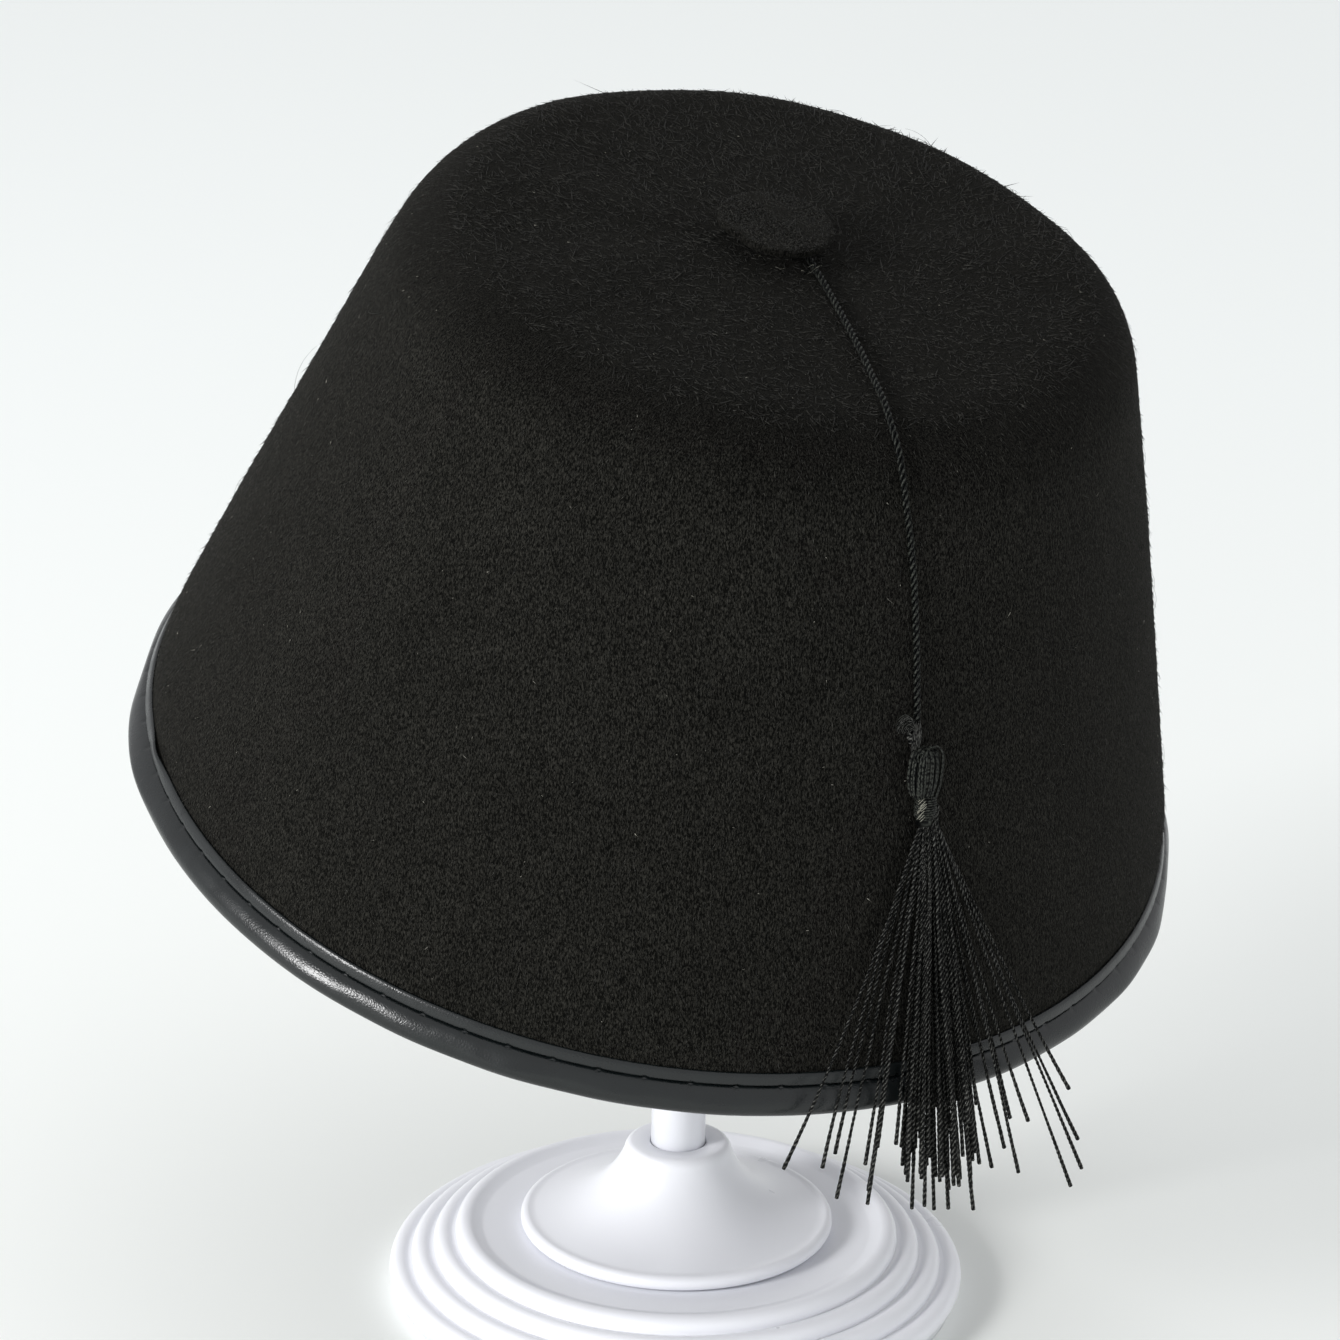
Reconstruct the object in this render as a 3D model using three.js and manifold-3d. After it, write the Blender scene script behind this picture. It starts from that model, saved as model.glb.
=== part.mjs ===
// A black felt fez with a bound rim, a felt button and a thread tassel, leaning on a
// plain moulded display stand. Sizes are in millimetres, angles in degrees, and +Z is up.
// The origin is the middle of the underside of the stand, and -Y is the front.

import * as THREE from "three";
import { mergeVertices } from "three/addons/utils/BufferGeometryUtils.js";
import Module from "manifold-3d";

const wasm = await Module();
wasm.setup();

// Clearance kept between neighbouring pieces
const gap = 0.3;

// Hat: a cone of felt that narrows to a flat crown with a rounded edge, whose middle has
// settled a little to one side of the rim's axis
const hatHeight = 112;
const rimRadius = 95;
const crownRadius = 61.8;
const crownEdgeRound = 15.5;
const feltWall = 2.5;
const feltEdgeHeight = 1.7;
const crownShift = { x: 2.18, y: 1.13 };

// How the hat leans on its stand, the turn being counted from the front towards +X
const leanDeg = 17.6;
const leanTurnDeg = 29.9;
const rimCentre = new THREE.Vector3(-5.8, 6.3, 100.4);

// Leather binding folded round the rim: a padded roll below, a stitched flap above it
const rollRadius = 2.0;
const rollCentre = { radius: 94.6, height: 2.2 };
const bindingLeather = 0.9;
const bindingInsideHeight = 6.4;
// Its outside above the roll: the roll's shoulder, the stitch groove, the flap and its edge,
// each at a height above the rim and a distance out from the felt
const bindingOutside = [
  { height: 4.6, out: 1.8 },
  { height: 5.5, out: 0.75 },
  { height: 6.4, out: 1.25 },
  { height: 7.65, out: 1.2 },
];

// Button: a felt disc held off the crown by a shank of thread, beside the crown's middle
const buttonRadius = 10.1;
const buttonThickness = 2.2;
const buttonLift = 3.2;
const shankRadius = 2.6;
const buttonCentre = { x: -1.1, y: -0.9 };

// Cord, its knot with a frayed tuft, and the tassel. Each turn is counted about the hat's
// axis, and each along is the distance on the felt from the middle of the crown.
const cordDiameter = 1.3;
const knot = { turn: 25.9, along: 108.3, lift: 2.0, halfSizes: [1.6, 1.4, 1.6] };
const tuft = { left: 2.3, up: 2.0, halfSizes: [1.9, 1.2, 1.6] };
const tasselHead = { turn: 26.9, top: 110.4, width: 5.6, depth: 4.6, height: 8.3 };
const tasselHeadFoot = { radiusShare: 0.6, bulgeShare: 0.98, bulgeHeightShare: 0.8 };
const tasselLift = 2.9;
const neck = { turn: 27.5, radius: 1.2, length: 4.6, embedded: 0.8 };
const wrapRadius = 1.9;
const lockCount = 26;
const lockLength = { middle: 71, outer: 63 };
const lockForward = [0.3, 1.7];
const skirt = { turn: 27.7, middle: 4, spread: 27, crowding: 1.45, facingDeg: 4 };

// Stand: ridged base, bell-shaped foot, round post and a domed head inside the hat
const plateauHeight = 12;
const ridgeCount = 4;
const ridgeRadius = 2.2;
const ridgePitch = 4.13;
const ridgeRise = 2.35;
const ridgeArcDeg = { lowest: -60, from: -25, to: 120 };
const baseRadius = 54.1;
const baseRidgeHeight = 3.8;
const baseFootRadius = 52.5;
const plateauRadius = 36.2;
const footRadius = 29.4;
const footLip = 1.4;
const footStep = { radius: 27, rise: 0.5 };
const bellSweep = { low: { radius: 18, rise: 3 }, high: { radius: 13, rise: 6.6 } };
const collarRadius = 9.8;
const collarTop = 29.4;
const collarRound = { radius: 1.3, height: 2.2, flare: 0.4 };
const postRadius = 5.1;
const socketDepth = 8;
const headDomeRadius = 32;
const headRadius = 26;
const headEdge = 3;
const headBossRadius = 9;
const headBossLength = 7;
const headEdgeBevel = 1;

// Sides of the round pieces
const hatSides = 60;
const baseSides = 44;
const smallSides = 32;
const tasselSides = 12;

const rad = THREE.MathUtils.degToRad;

// Materials
const felt = new THREE.MeshStandardMaterial({ color: 0x1b1a18, roughness: 0.95, metalness: 0 });
const leather = new THREE.MeshStandardMaterial({ color: 0x262b2c, roughness: 0.5, metalness: 0 });
const thread = new THREE.MeshStandardMaterial({ color: 0x131314, roughness: 0.6, metalness: 0 });
const whitePlastic = new THREE.MeshStandardMaterial({ color: 0xe6e8f0, roughness: 0.35, metalness: 0 });

// A section drawn in (radius, height) is turned about +Z. The solid lies left of the path.
function revolve(section, sides, arcSteps) {
  const lathe = new THREE.LatheGeometry(section.getPoints(arcSteps), sides);
  return lathe.rotateX(Math.PI / 2);
}

function piece(name, geometry, material) {
  const mesh = new THREE.Mesh(geometry, material);
  mesh.name = name;
  return mesh;
}

// Shapes of the felt cone that the other pieces follow
const sideTaper = (rimRadius - crownRadius) / hatHeight;
const sideAngle = Math.atan(sideTaper);
const edgeTurn = Math.PI / 2 - sideAngle;
const crownFlat = crownRadius - crownEdgeRound * Math.tan(edgeTurn / 2);
const edgeCentreHeight = hatHeight - crownEdgeRound;

// Outer radius of the felt at a height above the rim
function sideRadius(height) {
  return rimRadius - sideTaper * height;
}

// The shift of the crown, spread evenly over the height of the hat
const settleX = crownShift.x / hatHeight;
const settleY = crownShift.y / hatHeight;
const settle = new THREE.Matrix4().makeShear(0, 0, 0, 0, settleX, settleY);

// A point outside the felt: a turn about the hat's axis, the distance along the felt from
// the middle of the crown, over its rounded edge and down its side, and the lift off it.
function onFelt(turnDeg, along, lift) {
  const edgeLength = crownEdgeRound * edgeTurn;
  let radius = along;
  let height = hatHeight + lift;
  if (along > crownFlat) {
    const bend = Math.min((along - crownFlat) / crownEdgeRound, edgeTurn);
    const down = Math.max(along - crownFlat - edgeLength, 0);
    const reach = crownEdgeRound + lift;
    radius = crownFlat + reach * Math.sin(bend) + down * Math.sin(sideAngle);
    height = edgeCentreHeight + reach * Math.cos(bend) - down * Math.cos(sideAngle);
  }
  const turn = rad(turnDeg);
  const point = new THREE.Vector3(radius * Math.sin(turn), -radius * Math.cos(turn), height);
  return point.applyMatrix4(settle);
}

// Crown and side in one blocked felt, hollow and open below
function crownSection() {
  const insideTop = hatHeight - feltWall;
  const feltInside = feltWall / Math.cos(sideAngle);
  const section = new THREE.Path();
  section.moveTo(0, insideTop);
  section.lineTo(crownFlat, insideTop);
  section.absarc(crownFlat, edgeCentreHeight, crownEdgeRound - feltWall, Math.PI / 2, sideAngle, true);
  section.lineTo(sideRadius(feltEdgeHeight) - feltInside, feltEdgeHeight);
  section.lineTo(sideRadius(feltEdgeHeight), feltEdgeHeight);
  section.absarc(crownFlat, edgeCentreHeight, crownEdgeRound, sideAngle, Math.PI / 2, false);
  section.lineTo(0, hatHeight);
  return section;
}

// Binding: roll, stitch groove and flap outside, a plain flap inside, the felt between them
function bindingSection() {
  const feltInside = feltWall / Math.cos(sideAngle);
  const slotFloor = feltEdgeHeight - gap;
  const inner = (height, out) => sideRadius(height) - feltInside - gap - out;
  const outer = (height, out) => sideRadius(height) + out;
  const section = new THREE.Path();
  section.moveTo(inner(bindingInsideHeight, bindingLeather), bindingInsideHeight);
  section.lineTo(inner(slotFloor, bindingLeather), slotFloor);
  section.lineTo(inner(0, 0), rollCentre.height - rollRadius);
  section.lineTo(rollCentre.radius, rollCentre.height - rollRadius);
  section.absarc(rollCentre.radius, rollCentre.height, rollRadius, -Math.PI / 2, Math.PI / 4, false);
  for (const { height, out } of bindingOutside) {
    section.lineTo(outer(height, out), height);
  }
  const top = bindingOutside.at(-1).height;
  section.lineTo(outer(top, gap), top);
  section.lineTo(outer(slotFloor, gap), slotFloor);
  section.lineTo(inner(slotFloor, 0), slotFloor);
  section.lineTo(inner(bindingInsideHeight, 0), bindingInsideHeight);
  section.closePath();
  return section;
}

// Felt disc with a rounded edge on its shank, from the gap above the crown
function buttonSection() {
  const edge = buttonThickness / 2;
  const section = new THREE.Path();
  section.moveTo(0, gap);
  section.lineTo(shankRadius, gap);
  section.lineTo(shankRadius, buttonLift);
  section.lineTo(buttonRadius - edge, buttonLift);
  section.absarc(buttonRadius - edge, buttonLift + edge, edge, -Math.PI / 2, Math.PI / 2, false);
  section.lineTo(0, buttonLift + buttonThickness);
  return section;
}

// Route of the cord on the felt, from the button's shank to the knot above the tassel
const cordRoute = [
  { turn: 110, along: 3.4 },
  { turn: 62, along: 5.4 },
  { turn: 43, along: 9.0 },
  { turn: 37.4, along: 13.6 },
  { turn: 32.3, along: 19.8 },
  { turn: 27.6, along: 28.2 },
  { turn: 25.0, along: 35.9 },
  { turn: 23.0, along: 43.7 },
  { turn: 21.8, along: 50.3 },
  { turn: 21.0, along: 55.9 },
  { turn: 21.2, along: 60.2 },
  { turn: 21.3, along: 64.1 },
  { turn: 21.7, along: 67.9 },
  { turn: 23.1, along: 76.2 },
  { turn: 24.3, along: 84.8 },
  { turn: 25.3, along: 93.5 },
  { turn: 26.1, along: 102.3 },
  { turn: 26.4, along: 106.2 },
];
const cordSides = 8;
const cordSteps = 40;

function cordGeometry() {
  const lift = cordDiameter / 2 + gap;
  const points = cordRoute.map((row) => onFelt(row.turn, row.along, lift));
  const route = new THREE.CatmullRomCurve3(points);
  const section = new THREE.Shape();
  section.absarc(0, 0, cordDiameter / 2, 0, 2 * Math.PI, false);
  const options = { steps: cordSteps, extrudePath: route, curveSegments: cordSides / 2 };
  return new THREE.ExtrudeGeometry(section, options);
}

// Closed geometry to solid and back, for the pieces that are joined in code
function toSolid(geometry) {
  geometry.deleteAttribute("normal");
  geometry.deleteAttribute("uv");
  const merged = mergeVertices(geometry);
  return new wasm.Manifold(new wasm.Mesh({
    numProp: 3,
    vertProperties: new Float32Array(merged.attributes.position.array),
    triVerts: new Uint32Array(merged.index.array),
  }));
}

function toGeometry(solid) {
  const mesh = solid.getMesh();
  const geometry = new THREE.BufferGeometry();
  geometry.setAttribute("position", new THREE.BufferAttribute(mesh.vertProperties, 3));
  geometry.setIndex(new THREE.BufferAttribute(mesh.triVerts, 1));
  return geometry;
}

function fuse(geometries) {
  const solids = geometries.map(toSolid);
  return toGeometry(solids.reduce((whole, next) => whole.add(next)));
}

// Frame on the felt: X along the turn, Y into the felt and Z up its side
function feltFrame(turnDeg, along, lift) {
  const turn = rad(turnDeg);
  const across = new THREE.Vector3(Math.cos(turn), Math.sin(turn), 0);
  const up = new THREE.Vector3(-Math.sin(turn), Math.cos(turn), 0);
  up.multiplyScalar(Math.sin(sideAngle));
  up.z = Math.cos(sideAngle);
  const into = new THREE.Vector3().crossVectors(up, across);
  return new THREE.Matrix4().makeBasis(across, into, up).setPosition(onFelt(turnDeg, along, lift));
}

// Ball of the given half sizes about a centre
function ball(halfSizes, centre) {
  const geometry = new THREE.SphereGeometry(1, tasselSides, tasselSides / 2);
  geometry.rotateX(Math.PI / 2);
  geometry.scale(...halfSizes);
  return geometry.translate(...centre);
}

// Knot of the cord with its frayed end bent up to the left
function knotGeometry() {
  const middle = ball(knot.halfSizes, [0, 0, 0]);
  const frayed = ball(tuft.halfSizes, [-tuft.left, 0, tuft.up]);
  return fuse([middle, frayed]).applyMatrix4(feltFrame(knot.turn, knot.along, knot.lift));
}

// Tube through four-cornered sections, from its lower end up, with both ends closed
function loftLock(stations) {
  const corners = [[1, 0], [0, 1], [-1, 0], [0, -1]];
  const position = [];
  for (const { x, y, z, halfWidth, halfDepth } of stations) {
    for (const [a, b] of corners) {
      position.push(x + a * halfWidth, y + b * halfDepth, z);
    }
  }
  const index = [];
  for (let row = 0; row + 1 < stations.length; row += 1) {
    for (let side = 0; side < corners.length; side += 1) {
      const next = (side + 1) % corners.length;
      const low = row * corners.length;
      const high = low + corners.length;
      index.push(low + side, low + next, high + side);
      index.push(low + next, high + next, high + side);
    }
  }
  const last = (stations.length - 1) * corners.length;
  index.push(0, 2, 1, 0, 3, 2);
  index.push(last, last + 1, last + 2, last, last + 2, last + 3);
  const geometry = new THREE.BufferGeometry();
  geometry.setAttribute("position", new THREE.Float32BufferAttribute(position, 3));
  geometry.setIndex(index);
  return geometry;
}

// Skirt: locks that leave the neck together and fan out in a plane beside the felt, closer
// towards the middle, in a near and a far layer that both pass outside the binding.
// Fall and fan are shares of a lock's drop and of its reach to the side.
const neckTop = tasselHead.top + tasselHead.height;
const skirtTop = neckTop + neck.length;
const lockStations = [
  { fall: 1, fan: 1, halfWidth: 0.75, halfDepth: 0.55 },
  { fall: 0.6, fan: 0.57, halfWidth: 0.95, halfDepth: 0.75 },
  { fall: 0.25, fan: 0.22, halfWidth: 0.9, halfDepth: 0.75 },
  { fall: 0.06, fan: 0.05, halfWidth: 0.65, halfDepth: 0.6 },
  { fall: -0.015, fan: 0, halfWidth: 0.45, halfDepth: 0.45 },
];

function lockGeometry(number) {
  const share = (2 * number) / (lockCount - 1) - 1;
  const reach = Math.abs(share);
  const aside = skirt.middle + Math.sign(share) * skirt.spread * reach ** skirt.crowding;
  const length = THREE.MathUtils.lerp(lockLength.middle, lockLength.outer, reach ** 2);
  const forward = lockForward[number % lockForward.length];
  return loftLock(lockStations.map(({ fall, fan, halfWidth, halfDepth }) => ({
    x: aside * fan,
    y: -forward * Math.max(fan, 0) ** 0.5,
    z: -length * fall,
    halfWidth,
    halfDepth,
  })));
}

// Threads folded over into a barrel-shaped head
function tasselHeadSection() {
  const half = tasselHead.height / 2;
  const widest = tasselHead.width / 2;
  const section = new THREE.Path();
  section.moveTo(0, -half);
  section.lineTo(widest * tasselHeadFoot.radiusShare, -half);
  section.quadraticCurveTo(
    widest * tasselHeadFoot.bulgeShare, -half * tasselHeadFoot.bulgeHeightShare,
    widest, 0,
  );
  section.quadraticCurveTo(widest, half, 0, half);
  return section;
}

// Head, neck and skirt, fused into one body
function tasselGeometry() {
  const head = revolve(tasselHeadSection(), tasselSides, 5);
  head.scale(1, tasselHead.depth / tasselHead.width, 1);
  head.applyMatrix4(feltFrame(tasselHead.turn, neckTop - tasselHead.height / 2, tasselLift));
  const stemLength = neck.length + 2 * neck.embedded;
  const stem = new THREE.CylinderGeometry(neck.radius, neck.radius, stemLength, tasselSides);
  stem.rotateX(Math.PI / 2);
  stem.applyMatrix4(feltFrame(neck.turn, neckTop + neck.length / 2, tasselLift));
  const fanFrame = feltFrame(skirt.turn, skirtTop, tasselLift);
  fanFrame.multiply(new THREE.Matrix4().makeRotationZ(-rad(skirt.facingDeg)));
  const locks = Array.from({ length: lockCount }, (_, number) => lockGeometry(number));
  return fuse([head, stem, ...locks.map((lock) => lock.applyMatrix4(fanFrame))]);
}

// Thread wrapped round the neck
function wrapSection() {
  const half = neck.length / 2 - gap;
  const round = (wrapRadius - neck.radius - gap) / 2;
  const section = new THREE.Path();
  section.moveTo(neck.radius + gap, half);
  section.lineTo(neck.radius + gap, -half);
  section.lineTo(wrapRadius - round, -half);
  section.lineTo(wrapRadius, -half + round);
  section.lineTo(wrapRadius, half - round);
  section.lineTo(wrapRadius - round, half);
  section.closePath();
  return section;
}

// Base: a flat disc edged by rounded ridges that step up to a shallow plateau
function baseSection() {
  const section = new THREE.Path();
  section.moveTo(0, 0);
  section.lineTo(baseFootRadius, 0);
  for (let ridge = 0; ridge < ridgeCount; ridge += 1) {
    const centreRadius = baseRadius - ridgeRadius - ridge * ridgePitch;
    const centreHeight = baseRidgeHeight + ridge * ridgeRise;
    const start = rad(ridge === 0 ? ridgeArcDeg.lowest : ridgeArcDeg.from);
    section.absarc(centreRadius, centreHeight, ridgeRadius, start, rad(ridgeArcDeg.to), false);
  }
  section.lineTo(plateauRadius, plateauHeight);
  section.lineTo(0, plateauHeight);
  return section;
}

// Foot: a bell with a rounded lip, rising to a collar that holds the post
function footSection() {
  const floor = plateauHeight + gap;
  const lipHeight = floor + footLip;
  const section = new THREE.Path();
  section.moveTo(0, floor);
  section.lineTo(footRadius - footLip, floor);
  section.absarc(footRadius - footLip, lipHeight, footLip, -Math.PI / 2, Math.PI / 2, false);
  section.lineTo(footStep.radius, lipHeight + footStep.rise);
  section.bezierCurveTo(
    bellSweep.low.radius, lipHeight + bellSweep.low.rise,
    bellSweep.high.radius, lipHeight + bellSweep.high.rise,
    collarRadius + collarRound.flare, collarTop - collarRound.height,
  );
  section.quadraticCurveTo(collarRadius, collarTop, collarRadius - collarRound.radius, collarTop);
  section.lineTo(postRadius + gap, collarTop);
  section.lineTo(postRadius + gap, collarTop - socketDepth);
  section.lineTo(0, collarTop - socketDepth);
  return section;
}

// Where the stand's domed head bears under the crown: the dome's middle stands on the
// post's axis, at its own radius and the gap below the felt
const hatAxis = new THREE.Vector3(
  Math.sin(rad(leanDeg)) * Math.sin(rad(leanTurnDeg)),
  -Math.sin(rad(leanDeg)) * Math.cos(rad(leanTurnDeg)),
  Math.cos(rad(leanDeg)),
);
const bearing = hatHeight - feltWall - gap - headDomeRadius;
const domeCentre = (bearing + rimCentre.dot(hatAxis)) / hatAxis.z;
const headEdgeHeight = domeCentre + Math.sqrt(headDomeRadius ** 2 - headRadius ** 2);
const headUnderside = headEdgeHeight - headEdge;
const headFoot = headUnderside - headBossLength;

function headSection() {
  const edgeAngle = Math.acos(headRadius / headDomeRadius);
  const section = new THREE.Path();
  section.moveTo(0, headFoot + socketDepth);
  section.lineTo(postRadius + gap, headFoot + socketDepth);
  section.lineTo(postRadius + gap, headFoot);
  section.lineTo(headBossRadius, headFoot);
  section.lineTo(headBossRadius, headUnderside);
  section.lineTo(headRadius - headEdgeBevel, headUnderside);
  section.lineTo(headRadius, headUnderside + headEdgeBevel);
  section.absarc(0, domeCentre, headDomeRadius, edgeAngle, Math.PI / 2, false);
  return section;
}

function postGeometry() {
  const low = collarTop - socketDepth + gap;
  const high = headFoot + socketDepth - gap;
  const post = new THREE.CylinderGeometry(postRadius, postRadius, high - low, smallSides);
  post.rotateX(Math.PI / 2);
  return post.translate(0, 0, (low + high) / 2);
}

const stand = new THREE.Group();
stand.add(piece("stand_base", revolve(baseSection(), baseSides, 2), whitePlastic));
stand.add(piece("stand_foot", revolve(footSection(), smallSides, 4), whitePlastic));
stand.add(piece("stand_post", postGeometry(), whitePlastic));
stand.add(piece("stand_head", revolve(headSection(), smallSides, 3), whitePlastic));

const hat = new THREE.Group();
hat.position.copy(rimCentre);
hat.quaternion.setFromUnitVectors(new THREE.Vector3(0, 0, 1), hatAxis);
hat.add(piece("crown_felt", revolve(crownSection(), hatSides, 3).applyMatrix4(settle), felt));
hat.add(piece("rim_binding", revolve(bindingSection(), hatSides, 3).applyMatrix4(settle), leather));
const button = piece("top_button", revolve(buttonSection(), smallSides, 3), felt);
button.position.set(crownShift.x + buttonCentre.x, crownShift.y + buttonCentre.y, hatHeight);
hat.add(button);
hat.add(piece("tassel_cord", cordGeometry(), thread));
hat.add(piece("tassel_knot", knotGeometry(), thread));
hat.add(piece("tassel", tasselGeometry(), thread));
const wrap = piece("tassel_wrap", revolve(wrapSection(), tasselSides, 1), thread);
wrap.applyMatrix4(feltFrame(neck.turn, neckTop + neck.length / 2, tasselLift));
hat.add(wrap);

const fez = new THREE.Group();
fez.add(stand, hat);

export default fez;
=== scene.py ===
"""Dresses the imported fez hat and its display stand.

The file is laid out as a Blender add-on and is run as a script. Every shape is a surface worked
out with numpy from the sizes in the property groups, in metres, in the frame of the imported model:
+Z is up, -Y is the front, and the origin is the middle of the underside of the stand. A turn about
an upright axis is counted from the front towards +X.
"""

import math

import bpy
import numpy as np
from bpy.props import (
    FloatProperty,
    FloatVectorProperty,
    IntProperty,
    PointerProperty,
)
from mathutils import Euler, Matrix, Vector


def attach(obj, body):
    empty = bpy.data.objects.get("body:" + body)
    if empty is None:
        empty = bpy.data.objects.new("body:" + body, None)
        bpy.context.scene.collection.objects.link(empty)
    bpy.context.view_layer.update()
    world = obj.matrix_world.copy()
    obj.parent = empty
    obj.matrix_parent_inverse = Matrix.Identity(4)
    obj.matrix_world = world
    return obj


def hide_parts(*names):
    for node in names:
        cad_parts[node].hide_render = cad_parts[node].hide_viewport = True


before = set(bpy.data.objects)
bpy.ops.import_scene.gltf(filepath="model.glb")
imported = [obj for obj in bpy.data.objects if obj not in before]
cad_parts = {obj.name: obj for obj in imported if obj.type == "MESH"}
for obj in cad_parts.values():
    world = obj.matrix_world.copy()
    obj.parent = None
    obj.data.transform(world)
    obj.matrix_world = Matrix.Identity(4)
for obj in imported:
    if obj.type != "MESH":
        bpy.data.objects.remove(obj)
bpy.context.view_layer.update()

bl_info = {
    "name": "Fez hat on a display stand",
    "version": (1, 0, 0),
    "blender": (4, 5, 0),
    "location": "3D View > Sidebar > Fez",
    "description": "Builds a felt fez with its binding, button, cord and tassel, on its stand",
    "category": "Add Mesh",
}

MM = 0.001
FULL_TURN = 2 * np.pi
BODY = "root"

# Numbers of a Mix node's sockets for colours, which share their names with those for numbers
MIX_A = 6
MIX_B = 7
MIX_RESULT = 2

# Points round the felt, the button and the stand
FELT_SIDES = 256
BUTTON_SIDES = 128
STAND_SIDES = 160

# Radius of the ring of points in which a turned section closes over its axis
AXIS_RING = 1 * MM

# Sides of a tube of thread: those seen close up are rounder
FINE_SIDES = 5
THREAD_SIDES = 6

# Distances from the rim at which the nap and the longer hairs of the side end
NAP_END = 8.5 * MM
HAIR_END = 9 * MM

# How far the winding sits off the middle of the neck
WRAP_SHIFT = np.array([-0.3 * MM, 0, 0.6 * MM])

# Route of the cord over the felt, from under the button to the knot above the tassel: the turn
# about the hat's axis in degrees, and the distance on the felt from the middle of the crown in mm
CORD_ROUTE = (
    (110, 3.4),
    (62, 5.4),
    (43, 9.0),
    (34.5, 13.6),
    (29.0, 19.8),
    (25.3, 28.2),
    (23.2, 35.9),
    (21.5, 43.7),
    (20.5, 50.3),
    (19.9, 55.9),
    (20.1, 60.2),
    (20.3, 64.1),
    (20.7, 67.9),
    (22.3, 76.2),
    (23.5, 84.8),
    (24.4, 93.5),
    (25.1, 102.3),
    (25.3, 105.8),
)

# Radius of the corners of the button's cut edge
BUTTON_CORNER = 0.5 * MM

# Closed section of the binding, as heights above the rim and distances out from the outer face of
# the felt, in mm: up the inside flap, over the slot for the felt, then down the outside flap, the
# stitched groove and the padded roll
BINDING_SECTION = (
    (0.25, -3.0),
    (1.4, -3.75),
    (3.6, -3.8),
    (6.1, -3.75),
    (6.4, -3.35),
    (6.1, -2.95),
    (3.6, -2.9),
    (1.5, -2.8),
    (1.35, -1.2),
    (1.5, 0.1),
    (4.2, 0.06),
    (5.6, 0.1),
    (7.35, 0.26),
    (7.65, 0.42),
    (7.62, 0.8),
    (7.25, 0.98),
    (6.5, 1.05),
    (5.95, 1.02),
    (5.65, 0.8),
    (5.45, 0.22),
    (5.27, 0.8),
    (4.95, 1.35),
    (4.5, 1.75),
    (3.8, 2.1),
    (2.9, 2.3),
    (1.9, 2.15),
    (0.9, 1.5),
    (0.25, 0.3),
    (0.05, -1.2),
)

# Height of the stitching above the rim and its distance out from the felt, in mm
GROOVE_HEIGHT = 5.45
GROOVE_OUT = 0.25

# Columns of the binding's mesh in each pitch of its stitching, as shares of the pitch from a hole
HOLE_COLUMNS = (-0.4, -0.25, -0.12, -0.065, -0.033, 0, 0.033, 0.065, 0.12, 0.25, 0.4)

# Strands of the skirt whose ends show: how far aside each one ends and how far it drops below the
# neck, in mm, and how much it bows out on its way
SHOWN_STRANDS = (
    (-23.5, 59.5, 0.25),
    (-16.5, 60, -0.35),
    (-13.5, 58.5, -0.3),
    (-13, 66.5, -0.1),
    (-8.5, 60.5, -0.2),
    (-8, 67.5, 0.0),
    (-7, 66, 0.1),
    (-6, 58, -0.1),
    (-3.5, 57, 0.0),
    (-0.5, 64.5, -0.1),
    (-1, 62, 0.1),
    (-1.5, 58.5, 0.0),
    (1, 70, 0.0),
    (1.5, 63, 0.1),
    (2.5, 59.5, 0.0),
    (3, 69.5, -0.1),
    (3.5, 62.5, 0.0),
    (4.5, 61.5, 0.1),
    (5.5, 64, 0.0),
    (6, 71.5, 0.1),
    (6.5, 64.5, -0.1),
    (6.5, 60, 0.0),
    (7, 61.5, 0.0),
    (8.5, 71.5, 0.0),
    (9, 68.5, 0.15),
    (9.5, 65, 0.0),
    (10.5, 58, 0.0),
    (11.5, 59.5, 0.1),
    (12, 67, -0.1),
    (13, 72, 0.1),
    (13.5, 63.5, -0.1),
    (16, 55.5, 0.1),
    (17, 65.5, 0.15),
    (18.5, 55.5, 0.0),
    (19, 62, 0.1),
    (20.5, 65.5, 0.0),
    (21.5, 56, 0.15),
    (29.5, 51.5, 0.1),
    (31.5, 70, 0.0),
    (33.5, 62.5, 0.05),
    (34, 67.5, 0.0),
)

# Places beside the neck, in mm, where the hidden strands gather into bunches
BUNCHES = (0.8, 8.2, 1.6, 9.0, 5.6, 8.6, 12.0, -0.6)

# Places where the shape strays from true: the turn about the hat's axis and the width of the place
# in degrees, and how far it stands out, or in where it is less than nothing, in mm
EDGE_PLACES = (
    (-98, 20, -1.0),
    (-150, 30, 0.4),
    (142, 24, -0.55),
)
ROLL_PLACES = (
    (-95, 7.5, -1.4),
    (-74, 7.5, 0.75),
    (63, 9.0, 0.45),
    (84, 7.5, -0.95),
)


def linear(code):
    """Linear red, green and blue of an sRGB hex value, by the sRGB curve."""
    shares = [int(code[i:i + 2], 16) / 255 for i in (1, 3, 5)]
    return tuple(s / 12.92 if s <= 0.04045 else ((s + 0.055) / 1.055) ** 2.4 for s in shares)


def length(name, description, default):
    """A property that holds a length, given in millimetres."""
    return FloatProperty(name=name, description=description, default=default * MM, unit="LENGTH",
                         precision=5)


def turning(name, description, default):
    """A property that holds an angle, given in degrees."""
    return FloatProperty(name=name, description=description, default=math.radians(default),
                         unit="ROTATION")


def shade(name, description, default):
    """A property that holds a colour, given as an sRGB hex value and kept linear."""
    return FloatVectorProperty(name=name, description=description, default=linear(default),
                               size=3, min=0, max=1, subtype="COLOR")


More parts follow.
